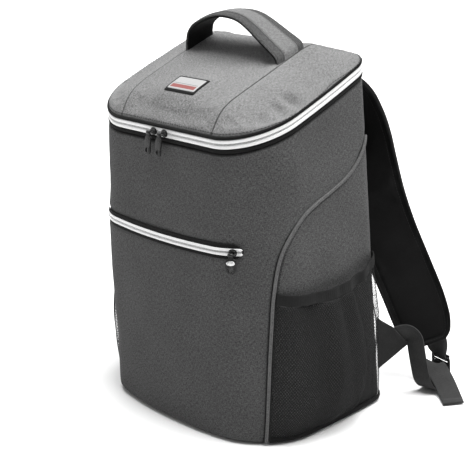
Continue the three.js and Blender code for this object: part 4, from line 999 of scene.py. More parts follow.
def hinge():
    """The cloth that bridges the zip band across the back."""
    ups, stations = np.linspace(-BINDING_SHOWN, LID_BINDING[1], 22), np.linspace(-1.46, 1.46, 141)
    up, q = np.meshgrid(ups, stations, indexing="ij")
    points = skin(q, zip_height(q) + up)
    lift = 0.9 * smooth((up + BINDING_SHOWN) / 4) * smooth((LID_BINDING[1] - up) / 4) - 0.5
    points[..., 1] += lift + 0.25 * lumps(points[..., 0], up, 16, 8)
    return Shape().sheet(points[:, ::-1], 2.6, np.stack([points[..., 0], up], -1)[:, ::-1])


hinge().make("hinge_cloth", GREY, "grey_cloth", ["lid_hinge"])


# The lid
def rim_radius():
    q = np.linspace(0, 5, 2500)
    x, y = plan(q, 1.0)
    return np.arctan2(-y, x), np.hypot(x, y)


rim_bearing, rim_reach = rim_radius()


def lid_height(x, y):
    """The lid's top over a place on the floor plan."""
    share = 1 - np.hypot(x, y) / np.interp(np.arctan2(-y, np.abs(x)), rim_bearing, rim_reach)
    share = np.clip(share, 0, 1)
    across, along = np.abs(x) / (TOP_WIDTH / 2), y / (TOP_DEPTH / 2)
    ends = 1 - np.abs(along) ** np.where(along < 0, 9.0, 5.0)
    sides = 1 - across**3
    swell = (1 - (1 - share) ** 11) * (0.22 + 0.78 * np.maximum(ends, 0) * np.maximum(sides, 0))
    return FRONT_HEIGHT + (y + TOP_DEPTH / 2) * SLOPE + LID_EDGE + LID_RISE * swell


def lid_grid(low_x, high_x, columns, rows):
    """Points of the lid between two x, closer together at the seams."""
    t = np.linspace(0, 1, columns)
    x = mix(low_x, high_x, mix(t, smooth(t), 0.85))
    half_wide, half_deep = TOP_WIDTH / 2, TOP_DEPTH / 2

    def arc(radius):
        past = np.maximum(np.abs(x) - half_wide + radius, 0)
        return radius - np.sqrt(np.maximum(radius**2 - past**2, 0))

    front, back = -half_deep + arc(TOP_FRONT_CORNER), half_deep - arc(BACK_CORNER)
    share = (1 - np.cos(np.linspace(0, np.pi, rows))) / 2
    share = 0.6 * share + 0.4 * np.linspace(0, 1, rows)
    y, xs = mix(front, back, share[:, None]), np.broadcast_to(x, (rows, columns))
    across, along = xs / half_wide, np.clip(y / half_deep, -1, 1)
    xs = xs + SIDE_BULGE * (1 - along**2) * across
    return np.stack([xs, y, lid_height(xs, y)], -1)


def simulate(points, faces, held, frames, gravity, cap, **values):
    """Cloth simulation of a grid of points, each of them held by its share and moved no further than
    cap."""
    scene = bpy.context.scene
    mesh = bpy.data.meshes.new("cloth_at_work")
    mesh.from_pydata((points.reshape(-1, 3) * MM).tolist(), [], faces)
    mesh.update()
    piece = bpy.data.objects.new("cloth_at_work", mesh)
    scene.collection.objects.link(piece)
    group = piece.vertex_groups.new(name="sewn")
    for k in np.flatnonzero(held).tolist():
        group.add([k], float(held.flat[k]), "REPLACE")
    made = piece.modifiers.new("cloth", "CLOTH")
    for setting, value in values.items():
        setattr(made.settings, setting, value)
    made.settings.compression_stiffness = made.settings.tension_stiffness
    made.settings.vertex_group_mass = "sewn"
    made.settings.use_pressure = True
    made.settings.effector_weights.gravity = gravity
    made.collision_settings.use_collision = False
    made.point_cache.frame_start, made.point_cache.frame_end = 1, frames
    for number in range(1, frames + 1):
        scene.frame_set(number)
    shown = piece.evaluated_get(bpy.context.evaluated_depsgraph_get()).to_mesh()
    moved = np.empty(len(shown.vertices) * 3)
    shown.vertices.foreach_get("co", moved)
    scene.frame_set(1)
    bpy.data.objects.remove(piece)
    bpy.data.meshes.remove(mesh)
    change = moved.reshape(points.shape) / MM - points
    far = np.linalg.norm(change, axis=-1, keepdims=True)
    return points + change * np.minimum(1, cap / np.maximum(far, 1e-9))


def settle(points, held):
    """The lid's cloth: an open sheet cut a little too large, with a light push from the foam below."""
    return simulate(
        points, grid_faces(*points.shape[:2]).tolist(), held, frames=18, gravity=0.35, cap=2.6,
        quality=5, mass=0.25, tension_stiffness=12, shear_stiffness=6, bending_stiffness=1.2,
        air_damping=3, shrink_min=-0.007, pin_stiffness=1, uniform_pressure_force=0.25,
    )


def finer(grid, times):
    """The same grid with more points, on smooth curves."""
    rows, columns = grid.shape[:2]
    grid = spline(grid, np.linspace(0, 1, (rows - 1) * times + 1))
    turned = np.swapaxes(grid, 0, 1)
    return np.swapaxes(spline(turned, np.linspace(0, 1, (columns - 1) * times + 1)), 0, 1)


def sewn_flat(points):
    """1 under the label, where the lid's cloth is held flat, and 0 away from it."""
    aside = np.abs(points[..., 0]) - LABEL_WIDTH / 2
    beyond = np.abs(points[..., 1] - LABEL_Y) - LABEL_DEPTH / 2
    return 1 - smooth((np.maximum(aside, beyond) - 2) / 12)


def lid_panel(low_x, high_x, columns, rows, seed, seams):
    """A settled panel of the lid: its points, their lift, and their distances from seams and rim."""
    points = lid_grid(low_x, high_x, columns, rows)
    near = np.minimum.reduce(edge_distance(points))
    fixed = np.where(near < 1.5, 1.0, np.where(near < 8, 0.4, 0.0))
    free = smooth((near - 1.5) / 20) * (1 - sewn_flat(points))
    points = finer(mix(points, settle(points, fixed), free[..., None]), 2)
    left, right, low, high = edge_distance(points)
    seam = np.minimum(left if "left" in seams else left + 1e3, right if "right" in seams else right + 1e3)
    rim = np.minimum.reduce([low, high] + ([right] if "right" not in seams else []))
    near = np.minimum(seam, rim)
    x, y = points[..., 0], points[..., 1]
    lift = tucked(seam, 0.5, 8.0, 0.8) + tucked(rim, 0.9, 5.0, 1.2)
    # Small puckers that run in from the sewn rim and die out
    pull = lumps(x * 0.9 + y * 0.3, y * 0.9 - x * 0.4, 13, seed + 2)
    lift += 0.5 * pull * smooth((rim - 3) / 7) * (1 - smooth((rim - 8) / 30))
    lift += 0.9 * lumps(x, y, 44, seed) * smooth(near / 22) * (1 - sewn_flat(points))
    lift += 0.35 * lumps(x, y, 15, seed + 1) * smooth(near / 10) * (1 - sewn_flat(points))
    return points, lift, seam, rim


def rim_lines(points, lift, with_side):
    """Places and directions on the cloth where its stitches run inside the rim: front, back and any side."""
    normal = grid_normals(points)
    both = np.concatenate([points + normal * lift[..., None], normal], -1)
    _, right, low, high = edge_distance(points)
    at = lambda s, line: [np.interp(RIM_STITCH_INSET, s, line[:, k]) for k in range(6)]
    rows, columns = points.shape[:2]
    inside = [j for j in range(columns) if not with_side or right[0, j] > RIM_STITCH_INSET]
    lines = [[at(low[:, j], both[:, j]) for j in inside], [at(high[::-1, j], both[::-1, j]) for j in inside]]
    if with_side:
        inside = [i for i in range(rows) if min(low[i, -1], high[i, -1]) > 1]
        lines.append([at(right[i, ::-1], both[i, ::-1]) for i in inside])
    return [np.array(line) for line in lines]


def lid_shape(points, lift, seam, rim):
    normal = grid_normals(points)
    moved = points + normal * lift[..., None]
    uvs = np.stack([points[..., 0], points[..., 1] * math.hypot(1, SLOPE)], -1)
    # Painted shade in the colour: dark along the seams and along the lid's rolled rim.
    crease_shade = 0.75 * np.exp(-((seam / 0.8) ** 2)) + 0.4 * np.exp(-((rim / 5) ** 2))
    return Shape().sheet(moved, LID_THICKNESS, uvs, crease_shade)


inner_x, outer_x = LID_SEAM_X - SEAM_GAP / 2, LID_SEAM_X + SEAM_GAP / 2
points, lift, seam, rim = lid_panel(-inner_x, inner_x, 46, 52, 61, ("left", "right"))
lid_shape(points, lift, seam, rim).make("lid_centre_cloth", LID_GREY_PAINTED_LIGHT, "lid_cloth", ["lid_centre_panel"])
rim_rows = rim_lines(points, lift, False)
points, lift, seam, rim = lid_panel(outer_x, TOP_WIDTH / 2, 30, 52, 71, ("left",))
# Dents in the right panel, where the zip's edge holds the cloth back: x, y, long, wide, turn, depth
x, y = points[..., 0], points[..., 1]
for cx, cy, wide, deep, turn, much in (
    (130, -19, 10, 6, 12, -5.2), (127, -28, 9, 3.5, 8, 0.9), (128, -37, 10, 6, -6, -4.4),
    (123, -57, 9, 6, -25, -2.8), (110, -64, 8, 6, -50, -1.2),
    (122, -8, 16, 9, 20, 0.8), (133, 8, 8, 8, 0, -1.2), (134, 34, 9, 9, 0, -0.9), (114, -44, 16, 9, 10, -1.0),
    (95, -76, 7, 8, 80, -0.8),
):
    c, s = math.cos(math.radians(turn)), math.sin(math.radians(turn))
    a, b = (x - cx) * c + (y - cy) * s, -(x - cx) * s + (y - cy) * c
    lift = lift + much * np.exp(-((a / wide) ** 2) - (b / deep) ** 2) * smooth((rim - 3.5) / 8)
right_panel = lid_shape(points, lift, seam, rim)
right_panel.make("lid_side_cloth_right", LID_GREY_PAINTED_LIGHT, "lid_cloth", ["lid_side_panel_right"])
rim_rows += rim_lines(points, lift, True)
points, lift, seam, rim = lid_panel(outer_x, TOP_WIDTH / 2, 30, 52, 83, ("left",))
left_panel = lid_shape(points, lift, seam, rim).mirrored()
left_panel.make("lid_side_cloth_left", LID_GREY_PAINTED_LIGHT, "lid_cloth", ["lid_side_panel_left"])
rim_rows += [row * [-1, 1, 1, -1, 1, 1] for row in rim_lines(points, lift, True)]

# A row of stitches through the lid's edge, just above its binding
stitch_row = Shape()
for row in rim_rows:
    here, run = evenly(row[:, :3], 4.0)
    normal = unit(row[even_picks(row[:, :3], len(here)), 3:])
    beads(stitch_row, here + normal * 0.15, run, normal, 2.4, 0.8, 0.7)
stitch_row.make("lid_rim_stitches", THREAD, "dark_tape")


# Label and handle
def lid_patch(border, foot, top, corner):
    """A thin cushion-edged patch where the label lies on the lid, smaller than the label by its border."""
    width, depth = LABEL_WIDTH - border, LABEL_DEPTH - border
    u, v = np.meshgrid(np.linspace(-1, 1, 48), np.linspace(-1, 1, 24), indexing="xy")
    power = 22.0
    k = (np.abs(u) ** power + np.abs(v) ** power) ** (1 / power)
    k = np.where(k > 0, np.maximum(np.abs(u), np.abs(v)) / np.maximum(k, 1e-9), 1)
    x, y = u * k * width / 2, v * k * depth / 2
    edge = smooth(np.minimum(width / 2 * (1 - np.abs(u)), depth / 2 * (1 - np.abs(v))) / corner)
    z = lid_height(x, LABEL_Y + y) + mix(foot, top, 0.35 + 0.65 * edge)
    return Shape().sheet(np.stack([x, LABEL_Y + y, z], -1), (top - foot) * 0.9, np.stack([x, y * 1.04], -1))


lid_patch(0, 0.3, 1.5, 1.2).make("label_rim", RUBBER, "black_plastic", ["label_patch"])
face = lid_patch(LABEL_BORDER, 1.3, 1.8, 0.6)
for uv in face.uvs:
    uv[:, 1] += (LABEL_DEPTH - LABEL_BORDER) / 2 * 1.04
face.make("label_panel", PRINT, "label_face", ["label_face"])


def handle_frames(t):
    """Middle and outward directions of the handle."""
    line = np.array([(x * LID_SEAM_X, 0, z * HANDLE_RISE) for x, z in HANDLE_ROUTE])
    at, run = route_curve(line, t)
    normal = np.stack([-run[:, 2], np.zeros(len(t)), run[:, 0]], -1)
    return at, normal


HANDLE_T = np.concatenate([
    np.linspace(0, 0.06, 10)[:-1], np.linspace(0.06, 0.94, 131), np.linspace(0.94, 1, 10)[1:],
])
HANDLE_ROOTS = lid_height(np.array([-LID_SEAM_X, LID_SEAM_X]), np.array([HANDLE_Y] * 2))


def handle_layer(width, low, high, crown, wave, seed):
    """One layer of the handle, between two heights off its middle. Its ends run into the lid's seams."""
    at, normal = handle_frames(HANDLE_T)
    section = superellipse(width, high - low, 3.4, 44)
    w, n = section[:, 0], section[:, 1] + (low + high) / 2
    n = n + np.where(section[:, 1] > 0, crown * (1 - (2 * w / width) ** 2), 0)
    w = w[None] * np.ones((len(HANDLE_T), 1))
    s = lengths(at)[:, None]
    n = n[None] + wave * lumps(s + w * 0.3, w + 90, 15, seed)
    lean = SLOPE * (1 - at[:, 2:3] / HANDLE_RISE)
    x = at[:, 0:1] + normal[:, 0:1] * n
    z = at[:, 2:3] + normal[:, 2:3] * n + mix(*HANDLE_ROOTS, HANDLE_T)[:, None] + w * lean
    y = HANDLE_Y + w
    sink = smooth(1 - np.minimum(lengths(at), lengths(at)[::-1])[:, None] / 7.0)
    seat = lid_height(x, y) - 0.6
    z = np.where(sink > 0, mix(z, np.maximum(seat, z - 2.0), sink * (z < seat + 6)), z)
    uvs = np.stack([np.broadcast_to(s, w.shape), w], -1)
    return Shape().add(np.stack([x, y, z], -1), tube_faces(*w.shape), uvs)


def handle_stitches(name, aside, out, slot, *size):
    """A row of stitches along each edge of a layer of the handle."""
    shape = Shape()
    t = np.linspace(0.03, 0.97, 300)
    for w in (-aside, aside):
        at, normal = handle_frames(t)
        lean = SLOPE * (1 - at[:, 2] / HANDLE_RISE)
        at = at + normal * out
        at[:, 1] += HANDLE_Y + w
        at[:, 2] += mix(*HANDLE_ROOTS, t) + w * lean
        stitches(shape, at, normal, 3.0, *size)
    shape.make(name, PALE_THREAD, slot)


handle_layer(HANDLE_WIDTH, -1.7, 1.6, 0.5, 0.2, 5).make("handle_outer", GREY, "grey_cloth", ["handle_band"])
lining = handle_layer(HANDLE_WIDTH - 1.5, -3.5, -2.0, 0.0, 0.2, 6)
lining.make("handle_inner", BLACK, "black_cloth", ["handle_lining"])
centre = handle_layer(21.0, 1.7, 2.9, 0.25, 0.1, 5)
centre.make("handle_centre", HANDLE_RIB, "lid_cloth", ["handle_centre_tape"])
handle_stitches("handle_centre_stitches", 9.2, 2.95, "lid_cloth", 2.2, 0.6, 0.5)
handle_stitches("handle_edge_stitches", 18.6, 1.75, "dark_tape", 2.1, 0.55, 0.5)


# Sliders and pulls
def seat_of(station, z, out):
    """The matrix of a slider's seat: X along the zip, Y up, Z out from the cloth."""
    at = skin(station, z, out)
    normal = outward(abs(station), z)
    if station < 0:
        normal = normal * [-1, 1, 1]
    along = np.cross([0, 0, 1], normal)
    return at, np.stack([along, np.array([0.0, 0.0, 1.0]), normal], -1)


def on_seat(shape, seat, lift, lean=0.0):
    """The shape moved to a seat, leaned about the zip's direction and lifted off the cloth."""
    at, turn = seat
    a = -math.radians(lean)
    c, s = math.cos(a), math.sin(a)
    leaned = np.array([[1, 0, 0], [0, c, -s], [0, s, c]]).T
    moved = join(shape)
    moved.points = [p @ leaned @ turn.T + at + turn[:, 2] * lift for p in shape.points]
    return moved


def plate(outline, low, high, round_off, hole=None):
    """A plate with rounded edges from a closed outline, with a round hole if one is given as x, y, radius."""
    outline = np.asarray(outline, float)
    n = len(outline)
    run = unit(np.roll(outline, -1, 0) - np.roll(outline, 1, 0))
    away = np.stack([run[:, 1], -run[:, 0]], -1)
    turns = np.linspace(0, np.pi / 2, 5)
    corner = [(round_off * (1 - math.sin(k)), round_off * (1 - math.cos(k))) for k in turns]
    edge = [(-inward, low + up) for inward, up in corner]
    edge += [(-inward, high - up) for inward, up in corner[::-1]]
    loops = [np.column_stack([outline + away * o, np.full(n, z)]) for o, z in edge]
    if not hole:
        return Shape().add(np.array(loops), tube_faces(len(loops), n))
    cx, cy, r = hole
    bearing = np.unwrap(np.arctan2(outline[:, 1] - cy, outline[:, 0] - cx))
    circle = np.stack([np.cos(bearing), np.sin(bearing)], -1)
    bore = [(r + wider, high - up) for wider, up in corner]
    bore += [(r + wider, low + up) for wider, up in corner[::-1]]
    loops += [np.column_stack([np.array([cx, cy]) + circle * o, np.full(n, z)]) for o, z in bore]
    return Shape().add(np.array(loops), grid_faces(len(loops) + 1, n, wrap=True) % (len(loops) * n))


def smooth_outline(points, count=72):
    """A closed smooth outline through a few points, anticlockwise."""
    points = np.asarray(points, float)
    closed = np.vstack([points[-2:], points, points[:3]])
    line = spline(closed, np.linspace(2 / (len(closed) - 1), (2 + len(points)) / (len(closed) - 1), 600))
    s = lengths(line)
    at = np.linspace(0, s[-1], count, endpoint=False)
    return np.stack([np.interp(at, s, line[:, 0]), np.interp(at, s, line[:, 1])], -1)


def tube(line, radius):
    run = unit(np.gradient(line, axis=0))
    side = unit(np.cross(run, np.array([0.0, 1.0, 0.0]) + run * 1e-3))
    up = np.cross(side, run)
    return Shape().sweep(line, side, up, superellipse(2 * radius, 2 * radius, 2, 12))


def join(*shapes):
    whole = Shape()
    for shape in shapes:
        whole.add(np.vstack(shape.points), shape.faces, np.vstack(shape.uvs))
    return whole


def slider():
    """A zip slider's face, its wings and the bail that its pull hangs from."""
    h, w = SLIDER_LENGTH / 2, SLIDER_WIDTH / 2
    wings = smooth_outline([
        (h, -w * 0.45), (h, w * 0.45), (h * 0.45, w * 0.95), (-h * 0.4, w), (-h, w * 0.5), (-h, -w * 0.5),
        (-h * 0.4, -w), (h * 0.45, -w * 0.95),
    ])
    low = plate(wings, 0.0, 1.5, 0.45)
    top = plate(wings * [0.86, 0.74], 1.5, SLIDER_THICKNESS, 0.6)
    reach = BAIL_SPAN / 2 + 1.05
    a = np.linspace(0, np.pi / 2, 8)
    top_z, r = SLIDER_THICKNESS + BAIL_HEIGHT, 1.1
    right = [(reach, 0, SLIDER_THICKNESS - 1.2), (reach, 0, top_z - r)]
    bend = [(reach - r + r * math.cos(k), 0, top_z - r + r * math.sin(k)) for k in a]
    half = right + bend
    line = np.array(half + [(-x, y, z) for x, y, z in half[::-1]])
    return join(low, top, tube(line, BAIL_RADIUS))


def pull(outline, length, width, hole):
    """A pull: a barrel round the bail, a neck and a plate with a raised rim and a hole near its tip."""
    left = [(-wide * width / 2, -down * length) for wide, down in outline]
    right = [(-x, y) for x, y in left[::-1]]
    shape = smooth_outline(left + right, 88)
    body = plate(shape, -PULL_THICKNESS / 2, PULL_THICKNESS / 2, 0.5, (0, -hole[0] * length, hole[1]))
    a = np.linspace(0, 2 * np.pi, 25)[:-1]
    outer, inner = 2.2, 1.25
    ring = []
    chamfer = outer - 0.35
    for x, r in ((-2.2, outer), (-2.5, chamfer), (-2.5, inner), (2.5, inner), (2.5, chamfer), (2.2, outer)):
        ring.append(np.column_stack([np.full(24, x), r * np.cos(a), r * np.sin(a)]))
    barrel = Shape().add(np.array(ring), grid_faces(7, 24, wrap=True) % 144)
    eye = np.linspace(0, 2 * np.pi, 41)[:-1]
    out = np.column_stack([np.cos(eye), np.sin(eye), np.zeros(40)])
    cy, radius = -hole[0] * length, hole[1] + 0.75
    rims = Shape()
    for side in (1, -1):
        face = np.full(40, side * PULL_THICKNESS / 2)
        at = np.column_stack([radius * np.cos(eye), cy + radius * np.sin(eye), face])
        rims.sweep(at, out, np.tile([0.0, 0.0, 1.0], (40, 1)), superellipse(1.1, 0.9, 2, 8), closed=True)
    return join(body, barrel, rims)


# Half widths and distances down, as shares of a pull's width and length
LID_PULL_OUTLINE = [
    (0.55, 0.0), (0.58, 0.12), (0.95, 0.24), (1, 0.4), (0.92, 0.58), (1.02, 0.76), (0.98, 0.9), (0.5, 1.0),
]
POCKET_PULL_OUTLINE = [
    (0.35, 0.0), (0.38, 0.14), (0.85, 0.26), (1, 0.42), (0.98, 0.68), (0.8, 0.88), (0.35, 1),
]
BAR_LIFT = SEAM_GAP + SLIDER_THICKNESS + BAIL_HEIGHT
lid_pull = pull(LID_PULL_OUTLINE, LID_PULL_LENGTH, LID_PULL_WIDTH * 1.12, (0.8, 2.3))
for name, side in (("left", -1), ("right", 1)):
    x = LID_SLIDERS_MEET + side * LID_SLIDER_SPACING / 2
    station = float(math.copysign(1, x) * station_at_x(abs(x), FRONT_HEIGHT))
    seat = seat_of(station, float(zip_height(station)) + COIL_MIDDLE, 0.0)
    made = on_seat(slider(), seat, SEAM_GAP)
    made.make(f"lid_slider_body_{name}", BLACK_METAL, "black_metal", [f"lid_slider_{name}"])
    made = on_seat(lid_pull, seat, BAR_LIFT, LID_PULL_LEAN)
    made.make(
        f"lid_pull_tab_{name}", BLACK_METAL, "black_metal", [f"lid_pull_{name}"], body=f"{name}_lid_pull"
    )

# The front pocket's zip
zip_end = float(station_at_x(POCKET_ZIP_HALF_SPAN, POCKET_ZIP_HEIGHT))
pocket_q = round_stations(zip_end, 400, 241, lambda q: POCKET_ZIP_HEIGHT)
pocket_line = skin(pocket_q, POCKET_ZIP_HEIGHT)
pocket_normal = outward_round(pocket_q, POCKET_ZIP_HEIGHT)
pocket_up = np.broadcast_to([0.0, 0.0, 1.0], pocket_line.shape)
POCKET_OUT = 2 * SEAM_GAP + POCKET_TAPE_THICKNESS
POCKET_TRIM_SHOWN = 2.5


def pocket_band(low, high, foot, out, crown, power, cut=0.0):
    """A band along the pocket's zip with rounded ends, cut short by that much."""
    half = (high - low) / 2
    section = superellipse(2 * half, out - foot, power, 18)
    crowned = crown * (1 - (section[:, 0] / half) ** 2)
    section[:, 1] += (out + foot) / 2 + np.where(section[:, 1] > 0, crowned, 0)
    s = lengths(pocket_line)
    inside = (s >= cut) & (s <= s[-1] - cut)
    ends = np.sqrt(np.clip(np.minimum(s - cut, s[-1] - cut - s) / (half * 1.2), 0.02, 1))
    sections = section[None] * np.stack([ends, np.ones_like(ends)], -1)[:, None]
    at = pocket_line + pocket_up * (low + high) / 2
    return Shape().sweep(at[inside], pocket_up[inside], pocket_normal[inside], sections[inside])


pocket_tape = pocket_band(-POCKET_TAPE_HALF, POCKET_TAPE_HALF, 0.1, POCKET_OUT + 0.2, 0.1, 5)
pocket_tape.make("pocket_tape", TAPE, "dark_tape", ["pocket_zip_tape"])
inner, outer = ZIP_COIL / 2 + SEAM_GAP, ZIP_COIL / 2 + SEAM_GAP + POCKET_TRIM_SHOWN
for name, low, high in (("upper", inner, outer), ("lower", -outer, -inner)):
    low, high = (low - TRIM_LAP, high) if low > 0 else (low, high + TRIM_LAP)
    band = pocket_band(low, high, POCKET_OUT - 0.1, POCKET_OUT + 1.0, 0.3, 2.8, 1.0)
    band.make(f"pocket_edge_{name}", SILVER, "silver_tape", [f"pocket_zip_{name}_trim"])
coil_line = pocket_line + pocket_normal * (POCKET_OUT + 0.35)
pocket_teeth = coil(coil_line[2:-2], pocket_normal[2:-2], pocket_up[2:-2], TOOTH_PITCH, ZIP_COIL)
pocket_teeth.make("pocket_zip_teeth", COIL, "zip_coil", ["pocket_zip_coil"])
pocket_threads = Shape()
for high in (-7.4, 7.4):
    line = pocket_line + pocket_up * high + pocket_normal * (POCKET_OUT - 0.05)
    stitches(pocket_threads, line, pocket_normal, 3.0, 2.1, 0.45, 0.45)
pocket_threads.make("pocket_tape_stitches", THREAD, "dark_tape")
pocket_station = float(station_at_x(POCKET_ZIP_HALF_SPAN - SLIDER_LENGTH, POCKET_ZIP_HEIGHT))
TRIM_OUT = POCKET_OUT + SEAM_GAP + ZIP_THICKNESS / 2
pocket_seat = seat_of(pocket_station, POCKET_ZIP_HEIGHT, TRIM_OUT)
made = on_seat(slider(), pocket_seat, SEAM_GAP)
made.make("pocket_slider_body", BLACK_METAL, "black_metal", ["pocket_slider"])
pocket_pull = pull(POCKET_PULL_OUTLINE, POCKET_PULL_LENGTH, POCKET_PULL_WIDTH, (0.76, 3.0))
made = on_seat(pocket_pull, pocket_seat, BAR_LIFT, POCKET_PULL_LEAN)
made.make("pocket_pull_tab", BLACK_METAL, "black_metal", ["pocket_pull"], body="front_pocket_pull")
a = np.linspace(0, 2 * np.pi, 48, endpoint=False)
oval = np.stack([5.0 * np.cos(a), 2.6 * np.sin(a)], -1)
badge = plate(oval, PULL_THICKNESS / 2, PULL_THICKNESS / 2 + 0.95, 0.42)
for p in badge.points:
    p[:, 1] -= 0.42 * POCKET_PULL_LENGTH
on_seat(badge, pocket_seat, BAR_LIFT, POCKET_PULL_LEAN).make(
    "pocket_pull_oval", BRIGHT, "bright_metal", ["pocket_pull_badge"], body="front_pocket_pull"
)


# Net side pockets
hem_top = HEM_BOTTOM + HEM_HEIGHT


def net_mouth(along):
    """Height of the net's upper edge."""
    return NET_HEIGHT + ELASTIC_HEIGHT * look(MOUTH_PROFILE, along)


def net_points(along, z, out, folds):
    """The net's surface, that far out; folds is the depth of the upright gathers below the elastic."""
    front = np.interp(z, seam_yz[:, 1], seam_yz[:, 0]) + PIPING_WIDTH / 2 + SEAM_GAP
    back = skin(np.full(np.shape(z), BACK_SEAM), z)[..., 1] - TAB_THICKNESS - NET_THICKNESS
    station = station_at(mix(front, back, along), z)
    height = np.clip((z - hem_top) / (NET_HEIGHT - hem_top), 0, 1)
    full = np.sin(np.pi * np.clip(along, 0, 1)) ** 0.62 * look(NET_PROFILE, height)
    lean = along + 0.05 * (height - 0.5)
    gathers = look(NET_FOLDS, lean) + 0.35 * lumps(
        along * 175 + 6 * np.sin(height * 3), z * 0.12, 9, 91
    )
    edge = smooth(np.minimum(along, 1 - along) / 0.12)
    behind = smooth((along - 0.6) / 0.3) * (1 - smooth((height - 0.3) / 0.4))
    full_out = SEAM_GAP + NET_BULGE * full * (1 - 0.5 * behind) + out
    full_out = full_out + folds * gathers * edge * (0.3 + 0.7 * smooth((height - 0.05) / 0.5))
    return skin(station, z) + outward(station, z) * full_out[..., None]


def net_shape():
    """Real strands: two families that cross in a diamond lattice."""
    height = NET_HEIGHT - hem_top
    v = np.arange(0, height + 22, NET_PITCH * 0.95)
    strands = []
    for side in (-1, 1):
        leaned = height * NET_LEAN + NET_PITCH
        for s0 in np.arange(-height * NET_LEAN - NET_PITCH, MOUTH_LENGTH + leaned, NET_PITCH * 1.05):
            u = s0 + side * v * NET_LEAN + 0.16 * lumps(v, v * 0 + s0, 9, 5)
            along, z = u / MOUTH_LENGTH, hem_top + SEAM_GAP + v
            inside = (along > 0.0) & (along < 1.0) & (z < net_mouth(np.clip(along, 0, 1)) + 1.0)
            if inside.sum() >= 3:
                strands.append((along[inside], z[inside], side))
    alongs = np.concatenate([strand[0] for strand in strands])
    zs = np.concatenate([strand[1] for strand in strands])
    at_all = net_points(alongs, zs, np.full(len(alongs), 0.8), 4.4)
    shape, place = Shape(), 0
    section = np.array(NET_SECTION)
    for along, z, side in strands:
        at = at_all[place:place + len(along)]
        place += len(along)
        run = unit(np.gradient(at, axis=0))
        normal = unit(at - np.stack([at[:, 0] * 0.55, at[:, 1] * 0.0 + 10, at[:, 2]], -1))
        across = unit(np.cross(run, normal))
        normal = np.cross(across, run)
        at = at + normal * (0.12 * side)
        points = at[:, None] + across[:, None] * section[None, :, :1] + normal[:, None] * section[None, :, 1:]
        uvs = np.stack([np.repeat(lengths(at), 4), np.tile([0.0, 0.5, 1.0, 0.5], len(at))], -1)
        shape.add(points, tube_faces(len(at), 4), uvs)
    return shape


make_pair(net_shape(), "net", NET, "net", "pocket_net")


def pocket_elastic():
    """The ruched band round the net's mouth."""
    along = np.linspace(0, 1, 260)
    s = along * MOUTH_LENGTH
    mouth = net_mouth(along)
    ruche = 0.1 * np.sin(s * 2 * np.pi / 3.4) + 0.4 * lumps(s, s * 0, 9, 41)
    rows = []
    section = superellipse(1, 1, 4, 26)
    for w, n in section:
        z = mouth + SEAM_GAP + (w + 0.5) * (ELASTIC_HEIGHT - 0.6) + 0.25 * lumps(s, s * 0 + 9, 6, 55)
        ruched = (ruche if n > 0 else 0) * (1 - (2 * abs(w)) ** 2 * 0.6)
        out = (n + 0.5) * (ELASTIC_THICKNESS - 0.3) + ruched + 0.15
        rows.append(net_points(along, z, out, 1.8))
    uvs = np.stack([np.repeat(s, len(section)), np.tile(section[:, 0] * ELASTIC_HEIGHT, len(s))], -1)
    return Shape().add(np.stack(rows, 1), tube_faces(len(s), len(section)), uvs)


def facing_out(shape):
    """Turns every face round if the closed shape is inside out."""
    p = np.vstack(shape.points)
    total = 0.0
    for f in shape.faces:
        for k in range(1, len(f) - 1):
            total += np.dot(p[f[0]], np.cross(p[f[k]], p[f[k + 1]]))
    if total < 0:
        shape.faces = [f[::-1] for f in shape.faces]
    return shape


make_pair(facing_out(pocket_elastic()), "elastic", ELASTIC, "dark_tape", "pocket_elastic")

hem_front = np.interp(hem_top, seam_yz[:, 1], seam_yz[:, 0]) + 2.3
hem_q = np.linspace(BACK_SEAM + 0.02, float(station_at(hem_front, hem_top)), 160)
hem_middle = (HEM_BOTTOM + hem_top) / 2
hem_at, hem_normal = skin(hem_q, hem_middle), outward(hem_q, hem_middle)
hem_section = superellipse(HEM_HEIGHT + 1.2, 2.2, 2.6, 16) + [0, 1.3]
hem = Shape().sweep(hem_at, np.broadcast_to([0.0, 0.0, 1.0], hem_at.shape), hem_normal, hem_section)
make_pair(facing_out(hem), "hem", BINDING, "dark_tape", "pocket_hem")


# Shoulder straps
STRAP_TOP = float(zip_height(0.0)) - STRAP_TOP_DROP
pad_route = []
for px, py, pz, turn, rise, wide in PAD_ROUTE:
    z = pz * STRAP_TOP
    behind = float(skin(0.0, min(z, STRAP_TOP))[1]) + SEAM_GAP
    pad_route.append((px * STRAP_SPLAY, behind + py * STRAP_REACH, z))
pad_across = np.array([width_direction(r[3], r[4]) for r in PAD_ROUTE])
pad_wide = [r[5] for r in PAD_ROUTE]


def pad_frames(t):
    """The pad's middle, run, width direction, outward direction and share of its width, along its route."""
    t = np.asarray(t, float)
    at, run = route_curve(pad_route, t)
    place = t * (len(pad_route) - 1)
    across = np.stack([np.interp(place, np.arange(len(pad_route)), pad_across[:, k]) for k in range(3)], -1)
    across = unit(across - run * (across * run).sum(-1, keepdims=True))
    wide = look((np.arange(len(pad_route)), pad_wide), place)
    return at, run, across, unit(np.cross(across, run)), wide


